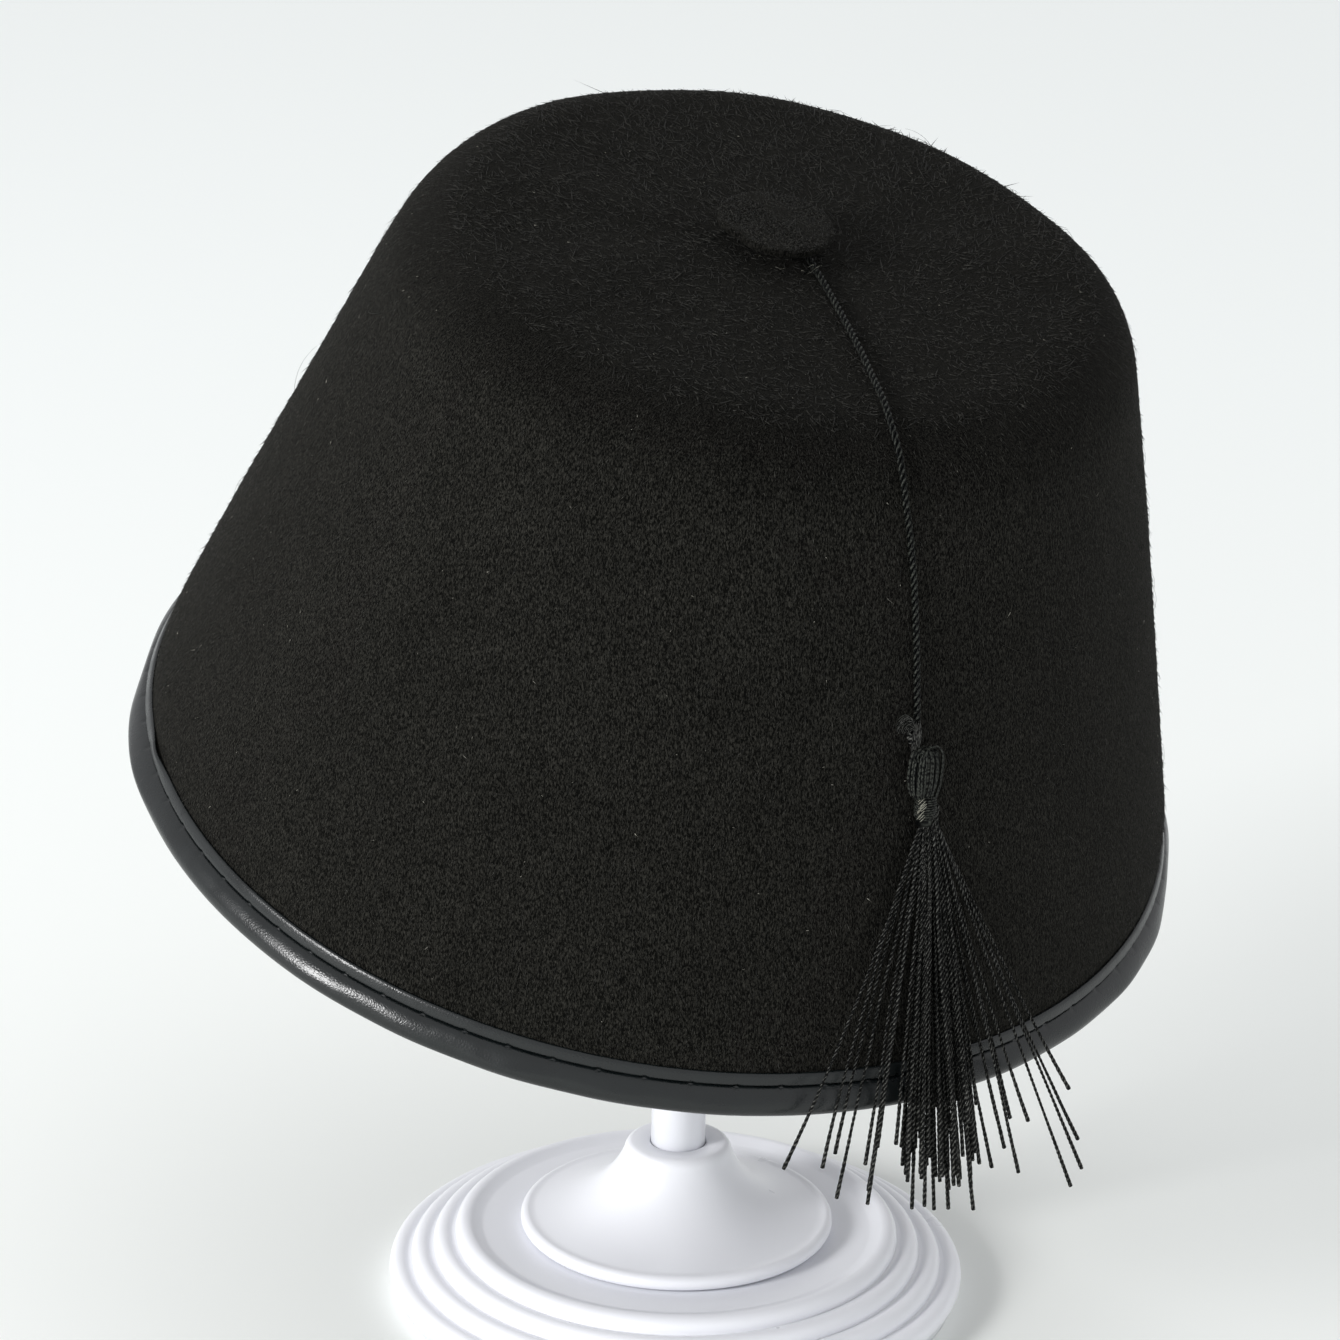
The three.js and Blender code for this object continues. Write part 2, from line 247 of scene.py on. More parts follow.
class HatShape(bpy.types.PropertyGroup):
    height: length("Height", "Height of the felt above the rim", 112)
    rim_radius: length("Rim radius", "Outer radius of the felt at the rim", 95)
    crown_radius: length("Crown radius", "Radius where the side would meet the crown", 61.8)
    edge_round: length("Edge round", "Radius of the crown's rounded edge", 15.5)
    wall: length("Wall", "Thickness of the felt", 2.5)
    felt_edge: length("Felt edge", "Height of the felt's lower edge above the rim", 1.7)
    waviness: length("Waviness", "How far the blocked felt strays from the true cone", 0.2)
    belly: length("Belly", "How far the side swells above the binding", 1.25)
    belly_low: length("Belly start", "Distance from the rim at which the side starts to swell", 4)
    belly_full: length("Belly full", "Distance from the rim at which the side is fullest", 16)
    belly_end: length("Belly end", "Distance from the rim at which the side is true again", 118)
    lean: turning("Lean", "How far the hat leans from upright", 17.6)
    lean_turn: turning("Lean turn", "Where the hat leans to", 29.9)
    crown_shift: FloatVectorProperty(
        name="Crown shift", description="How far the crown has settled to one side of the axis",
        default=(2.18 * MM, 1.13 * MM), size=2, unit="LENGTH")
    rim_centre: FloatVectorProperty(
        name="Rim centre", description="Middle of the rim",
        default=(-5.8 * MM, 6.3 * MM, 100.4 * MM), size=3, unit="LENGTH")


class NapShape(bpy.types.PropertyGroup):
    side_count: IntProperty(name="Side fibres", description="Fibres on the side", default=43000)
    crown_count: IntProperty(name="Crown fibres", description="Fibres on the crown", default=13000)
    hair_count: IntProperty(name="Stray hairs", description="Longer hairs", default=420)
    lint_count: IntProperty(name="Lint", description="Pale specks of lint", default=330)
    fibre_length: length("Fibre length", "Usual length of a fibre of the nap", 1.15)
    fibre_width: length("Fibre width", "Width of a fibre, coarser than wool so that it shows", 0.15)
    hair_length: length("Hair length", "Usual length of a stray hair", 4.0)


class BindingShape(bpy.types.PropertyGroup):
    stitch_pitch: length("Stitch pitch", "Distance between the holes of the stitching", 7.75)
    stitch_thread: length("Stitch thread", "Diameter of the stitching thread", 0.36)
    hole_depth: length("Hole depth", "How deep the thread pulls the strip in at a hole", 0.35)
    hole_width: length("Hole width", "Width of the dent at a hole", 0.42)
    lift: length("Flap lift", "How far the flap stands off the felt at its loose place", 0.7)
    lift_turn: turning("Lift turn", "Where the flap is loose", -73)


class TrimShape(bpy.types.PropertyGroup):
    button_radius: length("Button radius", "Radius of the felt button", 10.1)
    button_thickness: length("Button thickness", "Thickness of the felt button", 1.5)
    button_lift: length("Button lift", "Height of the button's underside above the crown", 3.9)
    shank_radius: length("Shank radius", "Radius of the button's thread shank", 2.6)
    button_centre: FloatVectorProperty(
        name="Button centre", description="Place of the button beside the middle of the crown",
        default=(-1.1 * MM, -0.9 * MM), size=2, unit="LENGTH")
    cord_diameter: length("Cord diameter", "Diameter of the three-ply cord", 1.2)
    cord_pitch: length("Cord pitch", "Length of one full turn of the cord's plies", 4.2)
    cord_gap: length("Cord gap", "Clearance between the cord and the felt", 0.25)
    knot_turn: turning("Knot turn", "Where the knot lies about the hat's axis", 24.5)
    knot_along: length("Knot place", "Distance on the felt from the crown's middle", 107.8)
    knot_lift: length("Knot lift", "Height of the knot's middle off the felt", 2.0)
    knot_size: length("Knot size", "Half the size of the knot", 1.1)


class TasselShape(bpy.types.PropertyGroup):
    lift: length("Lift", "Height of the tassel's middle off the felt", 2.9)
    head_turn: turning("Head turn", "Where the head lies about the hat's axis", 25.9)
    head_top: length("Head top", "Distance of its top on the felt from the crown's middle", 109.8)
    head_height: length("Head height", "Height of the head", 8.3)
    head_width: length("Head width", "Width of the head", 5.6)
    head_depth: length("Head depth", "Depth of the head", 4.6)
    head_threads: IntProperty(name="Head threads", description="Threads round the head", default=30)
    neck_turn: turning("Neck turn", "Where the neck lies about the hat's axis", 26.7)
    neck_radius: length("Neck radius", "Radius of the bound threads", 1.2)
    neck_length: length("Neck length", "Length of the wound part below the head", 4.6)
    wrap_radius: length("Wrap radius", "Outer radius of the winding", 1.9)
    wrap_turns: IntProperty(name="Wrap turns", description="Turns of the winding", default=9)
    skirt_turn: turning("Skirt turn", "Where the skirt starts about the hat's axis", 27.7)
    skirt_facing: turning("Skirt facing", "How far the skirt's plane turns towards the right", 4)
    strand_count: IntProperty(
        name="Hidden strands", description="Strands behind those whose ends show", default=42)
    strand_diameter: length("Strand diameter", "Diameter of a two-ply strand", 0.58)
    strand_pitch: length("Strand pitch", "Length of one full turn of a strand's plies", 2.1)
    bunch_spread: length("Bunch spread", "How far the hidden strands stray from their bunch", 0.5)
    shortest: length("Shortest drop", "Drop of the shortest hidden strands", 50)
    longest: length("Longest drop", "Drop of the longest hidden strands", 67)


class StandShape(bpy.types.PropertyGroup):
    base_radius: length("Base radius", "Radius of the base", 54.1)
    plateau: length("Plateau height", "Height of the base's flat top", 12)
    ridge_radius: length("Ridge radius", "Radius of each rounded ridge", 2.2)
    ridge_pitch: length("Ridge pitch", "Distance between neighbouring ridges", 4.13)
    ridge_rise: length("Ridge rise", "Rise from each ridge to the next", 2.35)
    ridge_height: length("Ridge height", "Height of the middle of the lowest ridge", 3.8)
    foot_radius: length("Foot radius", "Radius of the bell-shaped foot", 29.4)
    foot_lip: length("Foot lip", "Radius of the foot's rounded lip", 1.4)
    collar_radius: length("Collar radius", "Radius of the collar", 9.8)
    collar_top: length("Collar top", "Height of the collar's top", 29.4)
    post_radius: length("Post radius", "Radius of the post", 5.1)
    socket_depth: length("Socket depth", "Depth of the sockets that hold the post", 8)
    seam: length("Seam", "Clearance between the stand's pieces", 0.3)
    dome_radius: length("Dome radius", "Radius of the domed head's curve", 32)
    head_radius: length("Head radius", "Radius of the domed head's edge", 26)
    head_edge: length("Head edge", "Height of the domed head's edge", 3)
    boss_radius: length("Boss radius", "Radius of the boss below the head", 9)
    boss_length: length("Boss length", "Length of the boss below the head", 7)


class FinishColours(bpy.types.PropertyGroup):
    # The felt's dark colour lies in the hollows of its bump and the light one on its crests: partly
    # the felt's own tone, partly painted shade and painted light
    felt_dark: shade("Felt, dark", "Deep places between the fibres", "#070706")
    felt_light: shade("Felt, light", "Tips of the fibres", "#34332f")
    felt_bloom: shade("Felt, bloom", "Sheen of the felt at grazing angles", "#8a8983")
    fibre_dark: shade("Fibre, dark", "Darkest fibres of the nap", "#131311")
    fibre_light: shade("Fibre, light", "Palest fibres of the nap", "#3f3e39")
    lint_dark: shade("Lint, dark", "Greyest lint", "#3c3b37")
    lint_light: shade("Lint, light", "Palest lint", "#b4b1a4")
    leather: shade("Leather", "Binding", "#080b0c")
    leather_handled: shade("Leather, handled", "Binding where it was handled", "#0e1415")
    thread: shade("Thread", "Cord and tassel", "#050606")
    # Lights of the threads: painted highlights, mixed into the colour on the plies' crests; the
    # folded, frayed and waxed ones likewise
    thread_painted_highlight: shade("Thread, lights", "Filaments that catch the light", "#5d5d59")
    folded_painted_highlight: shade("Folded thread, lights", "Lights of thread pulled tight", "#3f413c")
    frayed_painted_highlight: shade("Frayed thread, lights", "Lights of thread cut and frayed", "#8f8e82")
    waxed_painted_highlight: shade("Waxed thread, lights", "Lights of the sewing thread", "#141516")
    plastic: shade("Plastic", "Stand", "#f2f3f8")
    floor: shade("Floor", "Floor beside the stand", "#f2f4f1")
    floor_far: shade("Floor, far", "Floor away from the stand", "#f4f7f5")
    sky: shade("Sky", "Light from all round", "#f8f9fb")


class CameraView(bpy.types.PropertyGroup):
    lens: length("Lens", "Focal length of the camera", 120.9)
    sensor: length("Sensor", "Width of the camera's sensor", 36)
    place: FloatVectorProperty(
        name="Place", description="Place of the camera",
        default=(-8.6 * MM, -769.1 * MM, 390.8 * MM), size=3, unit="LENGTH")
    pitch: turning("Pitch", "Turn of the camera up from looking straight down", 70.78)
    roll: turning("Roll", "Roll of the camera", -1.12)


class StudioLight(bpy.types.PropertyGroup):
    sky_strength: FloatProperty(
        name="Sky strength", description="Strength of the light from all round", default=0.88)
    box_width: length("Softbox width", "Width of the softbox", 600)
    box_height: length("Softbox height", "Height of the softbox", 450)
    box_power: FloatProperty(
        name="Softbox power", description="Power of the softbox", default=30, unit="POWER")
    box_place: FloatVectorProperty(
        name="Softbox place", description="Place of the softbox, to the front left and above",
        default=(-1.55, -1.07, 0.83), size=3, unit="LENGTH")
    box_aim: FloatVectorProperty(
        name="Softbox aim", description="Point that the softbox faces", default=(0, 0, 0.15),
        size=3, unit="LENGTH")
    floor_reach: length("Floor reach", "How far the floor goes out from the stand", 30000)
    floor_drop: length("Floor drop", "How far the floor lies below the stand", 0.05)


GROUPS = (
    ("fez_hat", HatShape),
    ("fez_nap", NapShape),
    ("fez_binding", BindingShape),
    ("fez_trim", TrimShape),
    ("fez_tassel", TasselShape),
    ("fez_stand", StandShape),
    ("fez_colours", FinishColours),
    ("fez_camera", CameraView),
    ("fez_studio", StudioLight),
)


# Shapes on the felt


def side_angle(hat):
    """Angle of the side from the hat's axis: its tangent is the taper of radius over height."""
    return math.atan((hat.rim_radius - hat.crown_radius) / hat.height)


def flat_radius(hat):
    """Radius of the flat part of the crown: the rounded edge takes its radius times the tangent
    of half its turn off the crown's radius."""
    edge_turn = math.pi / 2 - side_angle(hat)
    return hat.crown_radius - hat.edge_round * math.tan(edge_turn / 2)


def felt_length(hat):
    """Distance on the felt from the middle of the crown to the rim."""
    side = side_angle(hat)
    round_off = hat.edge_round * (math.pi / 2 - side)
    straight_top = hat.height - hat.edge_round + hat.edge_round * math.sin(side)
    return flat_radius(hat) + round_off + straight_top / math.cos(side)


def on_felt(hat, turn, along, lift):
    """Point in the hat's upright frame. The flat crown has radius = along. The rounded edge adds
    (round + lift) times the sine of its bend, and the side then adds its length times the sine of
    its angle. The height falls from the crown by the same terms with the cosines."""
    turn, along, lift = np.broadcast_arrays(turn, along, lift)
    side = side_angle(hat)
    flat = flat_radius(hat)
    edge_turn = math.pi / 2 - side
    bend = np.clip((along - flat) / hat.edge_round, 0, edge_turn)
    down = np.maximum(along - flat - hat.edge_round * edge_turn, 0)
    reach = hat.edge_round + lift
    radius = np.minimum(along, flat) + reach * np.sin(bend) + down * math.sin(side)
    height = hat.height - hat.edge_round + reach * np.cos(bend) - down * math.cos(side)
    return about_axis(radius, turn, height)


def about_axis(radius, turn, height):
    """Points about an upright axis, from the front towards +X: (r sin t, -r cos t, h)."""
    x, y = radius * np.sin(turn), -radius * np.cos(turn)
    return np.stack(np.broadcast_arrays(x, y, height), axis=-1)


def to_row(hat, points):
    """Settled and leaned points: the crown's shift times the share of the height, then the
    smallest turn that takes +Z to the hat's axis, then the rim's centre."""
    shift = np.array([*hat.crown_shift, 0]) / hat.height
    settled = points + points[..., 2:] * shift
    return settled @ lean_matrix(hat).T + np.array(hat.rim_centre)


def lean_matrix(hat):
    """Smallest turn from +Z to the axis a: I + K + K K / (1 + a_z), with K the cross product
    matrix of Z x a."""
    x = math.sin(hat.lean) * math.sin(hat.lean_turn)
    y = -math.sin(hat.lean) * math.cos(hat.lean_turn)
    z = math.cos(hat.lean)
    cross = np.array([[0, 0, x], [0, 0, y], [-x, -y, 0]])
    return np.eye(3) + cross + cross @ cross / (1 + z)


def side_belly(hat, along):
    """Swell of the side over the true cone: it rises above the binding by 3 f^2 - 2 f^3 of the
    share gone by, and dies away upwards by one less the square of the distance from the rim."""
    from_rim = felt_length(hat) - along
    risen = np.clip((from_rim - hat.belly_low) / (hat.belly_full - hat.belly_low), 0, 1)
    return hat.belly * (3 - 2 * risen) * risen**2 * np.clip(1 - (from_rim / hat.belly_end)**2, 0, 1)


def felt_rise(hat, turn, along):
    """Height of the blocked felt over the true cone: its belly, a sum of sines of whole numbers of
    waves round the hat, drifting with the distance along, that fades out at the crown's middle and
    at the rim, and the places where the crown's rounded edge has sunk or stands out, each a bell
    round the hat times a bell along the felt."""
    random = np.random.default_rng(7)
    waves = 16
    drift_length, top_fade, rim_fade = 14 * MM, 30 * MM, 14 * MM
    around = random.integers(1, 11, waves)
    drift = random.uniform(-1, 1, waves) / drift_length
    start = random.uniform(0, FULL_TURN, waves)
    turn, along = np.broadcast_arrays(turn, along)
    angle = turn[..., None] * around + along[..., None] * drift + start
    fade = (np.clip(along / top_fade, 0, 1)
            * np.clip((felt_length(hat) - along) / rim_fade, 0, 1))
    ripple = hat.waviness * fade * np.sin(angle).sum(axis=-1) / math.sqrt(waves)
    edge_middle = flat_radius(hat) + hat.edge_round * (math.pi / 2 - side_angle(hat)) / 2
    at_edge = np.exp(-((along - edge_middle) / (0.75 * hat.edge_round)) ** 2)
    return side_belly(hat, along) + ripple + strays(EDGE_PLACES, turn) * at_edge


def near_turn(turn, middle, width):
    """A bell of height one about a turn: exp of minus the squared distance over the width."""
    away = (turn - middle + np.pi) % FULL_TURN - np.pi
    return np.exp(-(away / width) ** 2)


def strays(places, turn):
    """How far a shape strays from true: the sum of the bells of its places."""
    return sum(out * MM * near_turn(turn, math.radians(middle), math.radians(width))
               for middle, width, out in places)


def felt_axes(hat, turn, along, lift):
    """Unit vectors in the row's frame at a point on the felt: across along the turn, down along
    the felt away from the crown's middle, and out, from steps of a tenth of a millimetre."""
    step = 0.1 * MM
    here = to_row(hat, on_felt(hat, turn, along, lift))
    down = unit(to_row(hat, on_felt(hat, turn, along + step, lift)) - here)
    out = unit(to_row(hat, on_felt(hat, turn, along, lift + step)) - here)
    return here, unit(np.cross(down, out)), down, out


def felt_frame(hat, turn, along, lift):
    """Origin and 3 x 3 axes beside the felt: X across, Y into the felt and Z up its side."""
    origin, _, down, out = felt_axes(hat, turn, along, lift + side_belly(hat, along))
    up = -down
    into = unit(-out + (out @ up) * up)
    return origin, np.stack([np.cross(into, up), into, up])


def unit(vectors):
    """Vectors of length one: each over its own length."""
    return vectors / np.maximum(np.linalg.norm(vectors, axis=-1, keepdims=True), 1e-12)


# Surfaces


def in_place(surface, place):
    """A surface drawn in a frame given as its origin and axes, in the row's frame."""
    points, quads, caps, uv = surface
    origin, axes = place
    return points @ axes + origin, quads, caps, uv


def distances(path):
    """Distance gone along each path at each of its points: the sum of the steps before it."""
    steps = np.linalg.norm(np.diff(path, axis=-2), axis=-1)
    return np.concatenate([np.zeros_like(steps[..., :1]), np.cumsum(steps, axis=-1)], axis=-1)


def columns_at(wanted, known, values):
    """Each column of values, known at some places, read off between them at the wanted ones."""
    return np.stack([np.interp(wanted, known, column) for column in values.T], axis=1)


def skin(grid, joined=False):
    """Surface over grids shaped (pieces, rows, sides, 3). Each row of points closes on itself. The
    end rows close in their middle points, or the last row joins the first. Returns the points,
    the four-cornered and the three-cornered faces, and a UV for each corner of the four-cornered
    ones: the piece's number and the share of the way round it, and the distance along it in
    centimetres."""
    count, rows, sides = grid.shape[:3]
    points = grid.reshape(-1, 3)
    row = np.arange(rows if joined else rows - 1)[:, None]
    side = np.arange(sides)
    above = (row + 1) % rows
    beside = (side + 1) % sides
    quads = np.stack([row * sides + side, row * sides + beside,
                      above * sides + beside, above * sides + side], axis=-1)
    first = np.arange(count) * rows * sides
    quads = (first[:, None, None, None] + quads).reshape(-1, 4)
    middles = grid.mean(axis=2)
    along = distances(middles) * 100
    u = np.stack([side, side + 1, side + 1, side], axis=-1) / sides
    v_low = along[:, row[:, 0]]
    v_high = along[:, above[:, 0]]
    v = np.stack([v_low, v_low, v_high, v_high], axis=-1)
    shape = (count, len(row), sides, 4)
    number = np.arange(count)[:, None, None, None]
    uv = np.stack([np.broadcast_to(number + u, shape), np.broadcast_to(v[:, :, None, :], shape)],
                  axis=-1)
    uv = uv.reshape(-1, 2)
    if joined:
        return points, quads, np.empty((0, 3), int), uv
    poles = len(points) + np.arange(count)[:, None]
    low = first[:, None] + side
    low_next = first[:, None] + beside
    top = (rows - 1) * sides
    poles = np.broadcast_to(poles, low.shape)
    start_caps = np.stack([poles, low_next, low], axis=-1)
    end_caps = np.stack([poles + count, low + top, low_next + top], axis=-1)
    points = np.concatenate([points, middles[:, 0], middles[:, -1]])
    caps = np.concatenate([start_caps.reshape(-1, 3), end_caps.reshape(-1, 3)])
    return points, quads, caps, uv


def together(*skins):
    """Several surfaces as one, with the corners of each counted on from the ones before."""
    starts = np.cumsum([0] + [len(s[0]) for s in skins[:-1]])
    return (
        np.concatenate([s[0] for s in skins]),
        np.concatenate([s[1] + start for s, start in zip(skins, starts)]),
        np.concatenate([s[2] + start for s, start in zip(skins, starts)]),
        np.concatenate([s[3] for s in skins]),
    )


def lathe(section, sides):
    """Turns a section of (radius, height) rows about Z: (r sin t, -r cos t, h)."""
    turn = np.arange(sides) * FULL_TURN / sides
    return about_axis(section[:, :1], turn, section[:, 1:])[None]


def path_axes(path, reference):
    """Unit vectors square to paths: n, the reference made square to the path's direction t, and
    b = t x n."""
    direction = unit(np.gradient(path, axis=1))
    normal = unit(reference - (reference * direction).sum(axis=-1, keepdims=True) * direction)
    return normal, np.cross(direction, normal)


def tube(path, radius, reference, sides):
    """Rings about paths shaped (pieces, rows, 3): centre + radius (cos a n + sin a b), with n and b
    square to the path."""
    normal, binormal = path_axes(path, np.asarray(reference))
    angle = (np.arange(sides) * FULL_TURN / sides)[:, None]
    radius = np.broadcast_to(radius, path.shape[:2])[..., None, None]
    ring = np.cos(angle) * normal[..., None, :] + np.sin(angle) * binormal[..., None, :]
    return path[..., None, :] + radius * ring


def plies(path, reference, number, wind, pitch, start=0.0):
    """Paths of the plies of twisted threads, shaped (pieces x number, rows, 3), and their outward
    directions: each winds about its own path at the radius wind, by a full turn for each pitch of
    the path's length."""
    normal, binormal = path_axes(path, np.asarray(reference))
    turn = np.asarray(start)[..., None] + FULL_TURN * distances(path) / pitch
    turn = turn[:, None, :] + (np.arange(number) * FULL_TURN / number)[:, None]
    wind = np.broadcast_to(wind, path.shape[:2])[:, None, :, None]
    offset = np.cos(turn)[..., None] * normal[:, None] + np.sin(turn)[..., None] * binormal[:, None]
    wound = path[:, None] + wind * offset
    return wound.reshape(-1, *path.shape[1:]), offset.reshape(-1, *path.shape[1:])


def smooth_through(points, per_step, closed=False):
    """Catmull-Rom curve through the points: each stretch is the cubic whose slope at a point is
    half the step between that point's neighbours."""
    points = np.asarray(points, float)
    if closed:
        padded = np.concatenate([points[-1:], points, points[:2]])
    else:
        before, after = 2 * points[:1] - points[1:2], 2 * points[-1:] - points[-2:-1]
        padded = np.concatenate([before, points, after])
    a, b, c, d = padded[:-3, None], padded[1:-2, None], padded[2:-1, None], padded[3:, None]
    t = (np.arange(per_step) / per_step)[:, None]
    curve = 0.5 * (2 * b + (c - a) * t + (2 * a - 5 * b + 4 * c - d) * t**2
                   + (3 * b - a - 3 * c + d) * t**3)
    curve = curve.reshape(-1, points.shape[1])
    return curve if closed else np.concatenate([curve, points[-1:]])


def evenly(path, step):
    """The path again, with points a step apart along its length."""
    gone = distances(path)
    return columns_at(np.linspace(0, gone[-1], math.ceil(gone[-1] / step) + 1), gone, path)


def add_piece(name, surface, material, stands_for=()):
    """Puts a surface into a mesh object that rides on the body and what it
    replaces."""
    points, quads, caps, uv = surface
    mesh = bpy.data.meshes.new(name)
    mesh.vertices.add(len(points))
    mesh.vertices.foreach_set("co", points.astype(np.float32).ravel())
    corners = np.concatenate([quads.ravel(), caps.ravel()]).astype(np.int32)
    mesh.loops.add(len(corners))
    mesh.loops.foreach_set("vertex_index", corners)
    starts = np.concatenate([np.arange(len(quads)) * 4, len(quads) * 4 + np.arange(len(caps)) * 3])
    mesh.polygons.add(len(starts))
    mesh.polygons.foreach_set("loop_start", starts.astype(np.int32))
    mesh.polygons.foreach_set("use_smooth", np.ones(len(starts), bool))
    layer = mesh.uv_layers.new(name="along")
    cap_uv = np.zeros((caps.size, 2))
    layer.data.foreach_set("uv", np.concatenate([uv, cap_uv]).astype(np.float32).ravel())
    mesh.update(calc_edges=True)
    mesh.validate()
    mesh.materials.append(material)
    piece = bpy.data.objects.new(name, mesh)
    bpy.context.scene.collection.objects.link(piece)
    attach(piece, BODY)
    if stands_for:
        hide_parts(*stands_for)
    return piece


# Materials


def add_node(material, kind, settings=None, **links):
    """Adds a node, sets its properties by name and its sockets by name or number, and links its
    inputs from other sockets."""
    node = material.node_tree.nodes.new(kind)
    for key, value in (settings or {}).items():
        if isinstance(key, str) and hasattr(node, key):
            setattr(node, key, value)
        else:
            node.inputs[key].default_value = value
    for key, socket in links.items():
        material.node_tree.links.new(socket, node.inputs[key.replace("_", " ")])
    return node


def new_material(name, **sockets):
    """A material with its Principled shader, whose sockets are set by their names."""
    found = bpy.data.materials.get(name)
    if found:
        bpy.data.materials.remove(found)
    material = bpy.data.materials.new(name)
    material.use_nodes = True
    shader = material.node_tree.nodes["Principled BSDF"]
    for key, value in sockets.items():
        shader.inputs[key.replace("_", " ")].default_value = value
    return material, shader


def hat_coordinates(material, hat, scale):
    """Object coordinates turned into the hat's upright frame and scaled."""
    coordinates = add_node(material, "ShaderNodeTexCoord")
    settings = {"Rotation": matrix_euler(lean_matrix(hat).T), "Scale": scale}
    return add_node(material, "ShaderNodeMapping", settings, Vector=coordinates.outputs["Object"])


def matrix_euler(rows):
    """XYZ angles of a 3 x 3 turning matrix."""
    y = -math.asin(rows[2][0])
    x = math.atan2(rows[2][1], rows[2][2])
    z = math.atan2(rows[1][0], rows[0][0])
    return x, y, z


def crown_painted_shade(material, hat, crown):
    """Painted shade by the height above the rim: a value of one all the way on the side, falling
    over the crown's face to the crown's value, so that the crown is painted darker than the side."""
    upright = hat_coordinates(material, hat, (1, 1, 1))
    height = add_node(material, "ShaderNodeSeparateXYZ", Vector=upright.outputs["Vector"])
    top = float(np.array(hat.rim_centre) @ lean_matrix(hat)[:, 2]) + hat.height
    share = add_node(material, "ShaderNodeMapRange",
                     {"From Min": top - 14 * MM, "From Max": top - 1 * MM, "To Min": 1.0,
                      "To Max": crown}, Value=height.outputs["Z"])
    return share.outputs["Result"]


def felt_material(hat, colours, name="wool_felt_brushed", crown=0.6):
    """Wool felt, milled and brushed along the side: short fibres lie close together, so the eye
    gets crinkled streaks 0.2 mm wide and some 0.6 mm long, no gloss, and a pale bloom at grazing
    angles. Brushing leaves paler and darker patches some 16 mm across. One noise sets both the
    streaks' bump and their colour, so their dark hollows and pale crests are partly the felt's own
    tone and partly painted shade and painted light."""
    material, shader = new_material(name, Roughness=0.95, IOR=1.45, Specular_IOR_Level=0.04,
                                    Sheen_Weight=0.1, Sheen_Roughness=0.35,
                                    Sheen_Tint=(*colours.felt_bloom, 1))
    streak_width, streak_length, patch_width = 0.22 * MM, 0.616 * MM, 16 * MM
    streaks = hat_coordinates(material, hat, (1 / streak_width, 1 / streak_width,
                                              1 / streak_length))
    fibres = add_node(material, "ShaderNodeTexNoise",
                      {"Scale": 1.0, "Detail": 2.0, "Roughness": 0.6, "Distortion": 0.7},
                      Vector=streaks.outputs["Vector"])
    patches = hat_coordinates(material, hat, (1 / patch_width,) * 3)
    clouds = add_node(material, "ShaderNodeTexNoise",
                      {"Scale": 1.0, "Detail": 2.0, "Roughness": 0.5},
                      Vector=patches.outputs["Vector"])
    # Painted shade and light: the same noise as the bump, dark in its hollows and pale on its
    # crests
    ramp = add_node(material, "ShaderNodeMapRange", {"From Min": 0.43, "From Max": 0.74},
                    Value=fibres.outputs["Fac"])
    blend = add_node(material, "ShaderNodeMix",
                     {"data_type": "RGBA", MIX_A: (*colours.felt_dark, 1),
                      MIX_B: (*colours.felt_light, 1)}, Factor=ramp.outputs["Result"])
    cloudy = add_node(material, "ShaderNodeMapRange",
                      {"From Min": 0.3, "From Max": 0.7, "To Min": 0.92, "To Max": 1.1},
                      Value=clouds.outputs["Fac"])
    # Painted shade: the patches' tone times the crown's painted shade, which darkens the crown's
    # face
    depth = add_node(material, "ShaderNodeMath", {"operation": "MULTIPLY"})
    wire(material, cloudy.outputs["Result"], depth.inputs[0])
    wire(material, crown_painted_shade(material, hat, crown), depth.inputs[1])
    tone = add_node(material, "ShaderNodeHueSaturation", Value=depth.outputs["Value"],
                    Color=blend.outputs[MIX_RESULT])
    bump = add_node(material, "ShaderNodeBump", {"Strength": 1.0, "Distance": 0.3 * MM},
                    Height=fibres.outputs["Fac"])
    wire(material, tone.outputs["Color"], shader.inputs["Base Color"])
    wire(material, bump.outputs["Normal"], shader.inputs["Normal"])
    return material


def nap_material(hat, colours):
    """Single wool fibres of the same felt: matt black with a trace of light from their scales,
    each one paler or darker than the next, and painted a little darker on the crown as painted
    shade."""
    material, shader = new_material("wool_fibre_dyed", Roughness=0.6, IOR=1.55,
                                    Specular_IOR_Level=0.2)
    spot_width, spot_length = 0.3 * MM, 1.2 * MM
    spots = hat_coordinates(material, hat, (1 / spot_width, 1 / spot_width, 1 / spot_length))
    noise = add_node(material, "ShaderNodeTexNoise", {"Scale": 1.0, "Detail": 1.0},
                     Vector=spots.outputs["Vector"])
    ramp = add_node(material, "ShaderNodeMapRange", {"From Min": 0.42, "From Max": 0.75},
                    Value=noise.outputs["Fac"])
    blend = add_node(material, "ShaderNodeMix",
                     {"data_type": "RGBA", MIX_A: (*colours.fibre_dark, 1),
                      MIX_B: (*colours.fibre_light, 1)}, Factor=ramp.outputs["Result"])
    # Painted shade: the crown's painted shade, at 0.9, darkens the fibres on the crown
    tone = add_node(material, "ShaderNodeHueSaturation", Value=crown_painted_shade(material, hat, 0.9),
                    Color=blend.outputs[MIX_RESULT])
    wire(material, tone.outputs["Color"], shader.inputs["Base Color"])
    return material


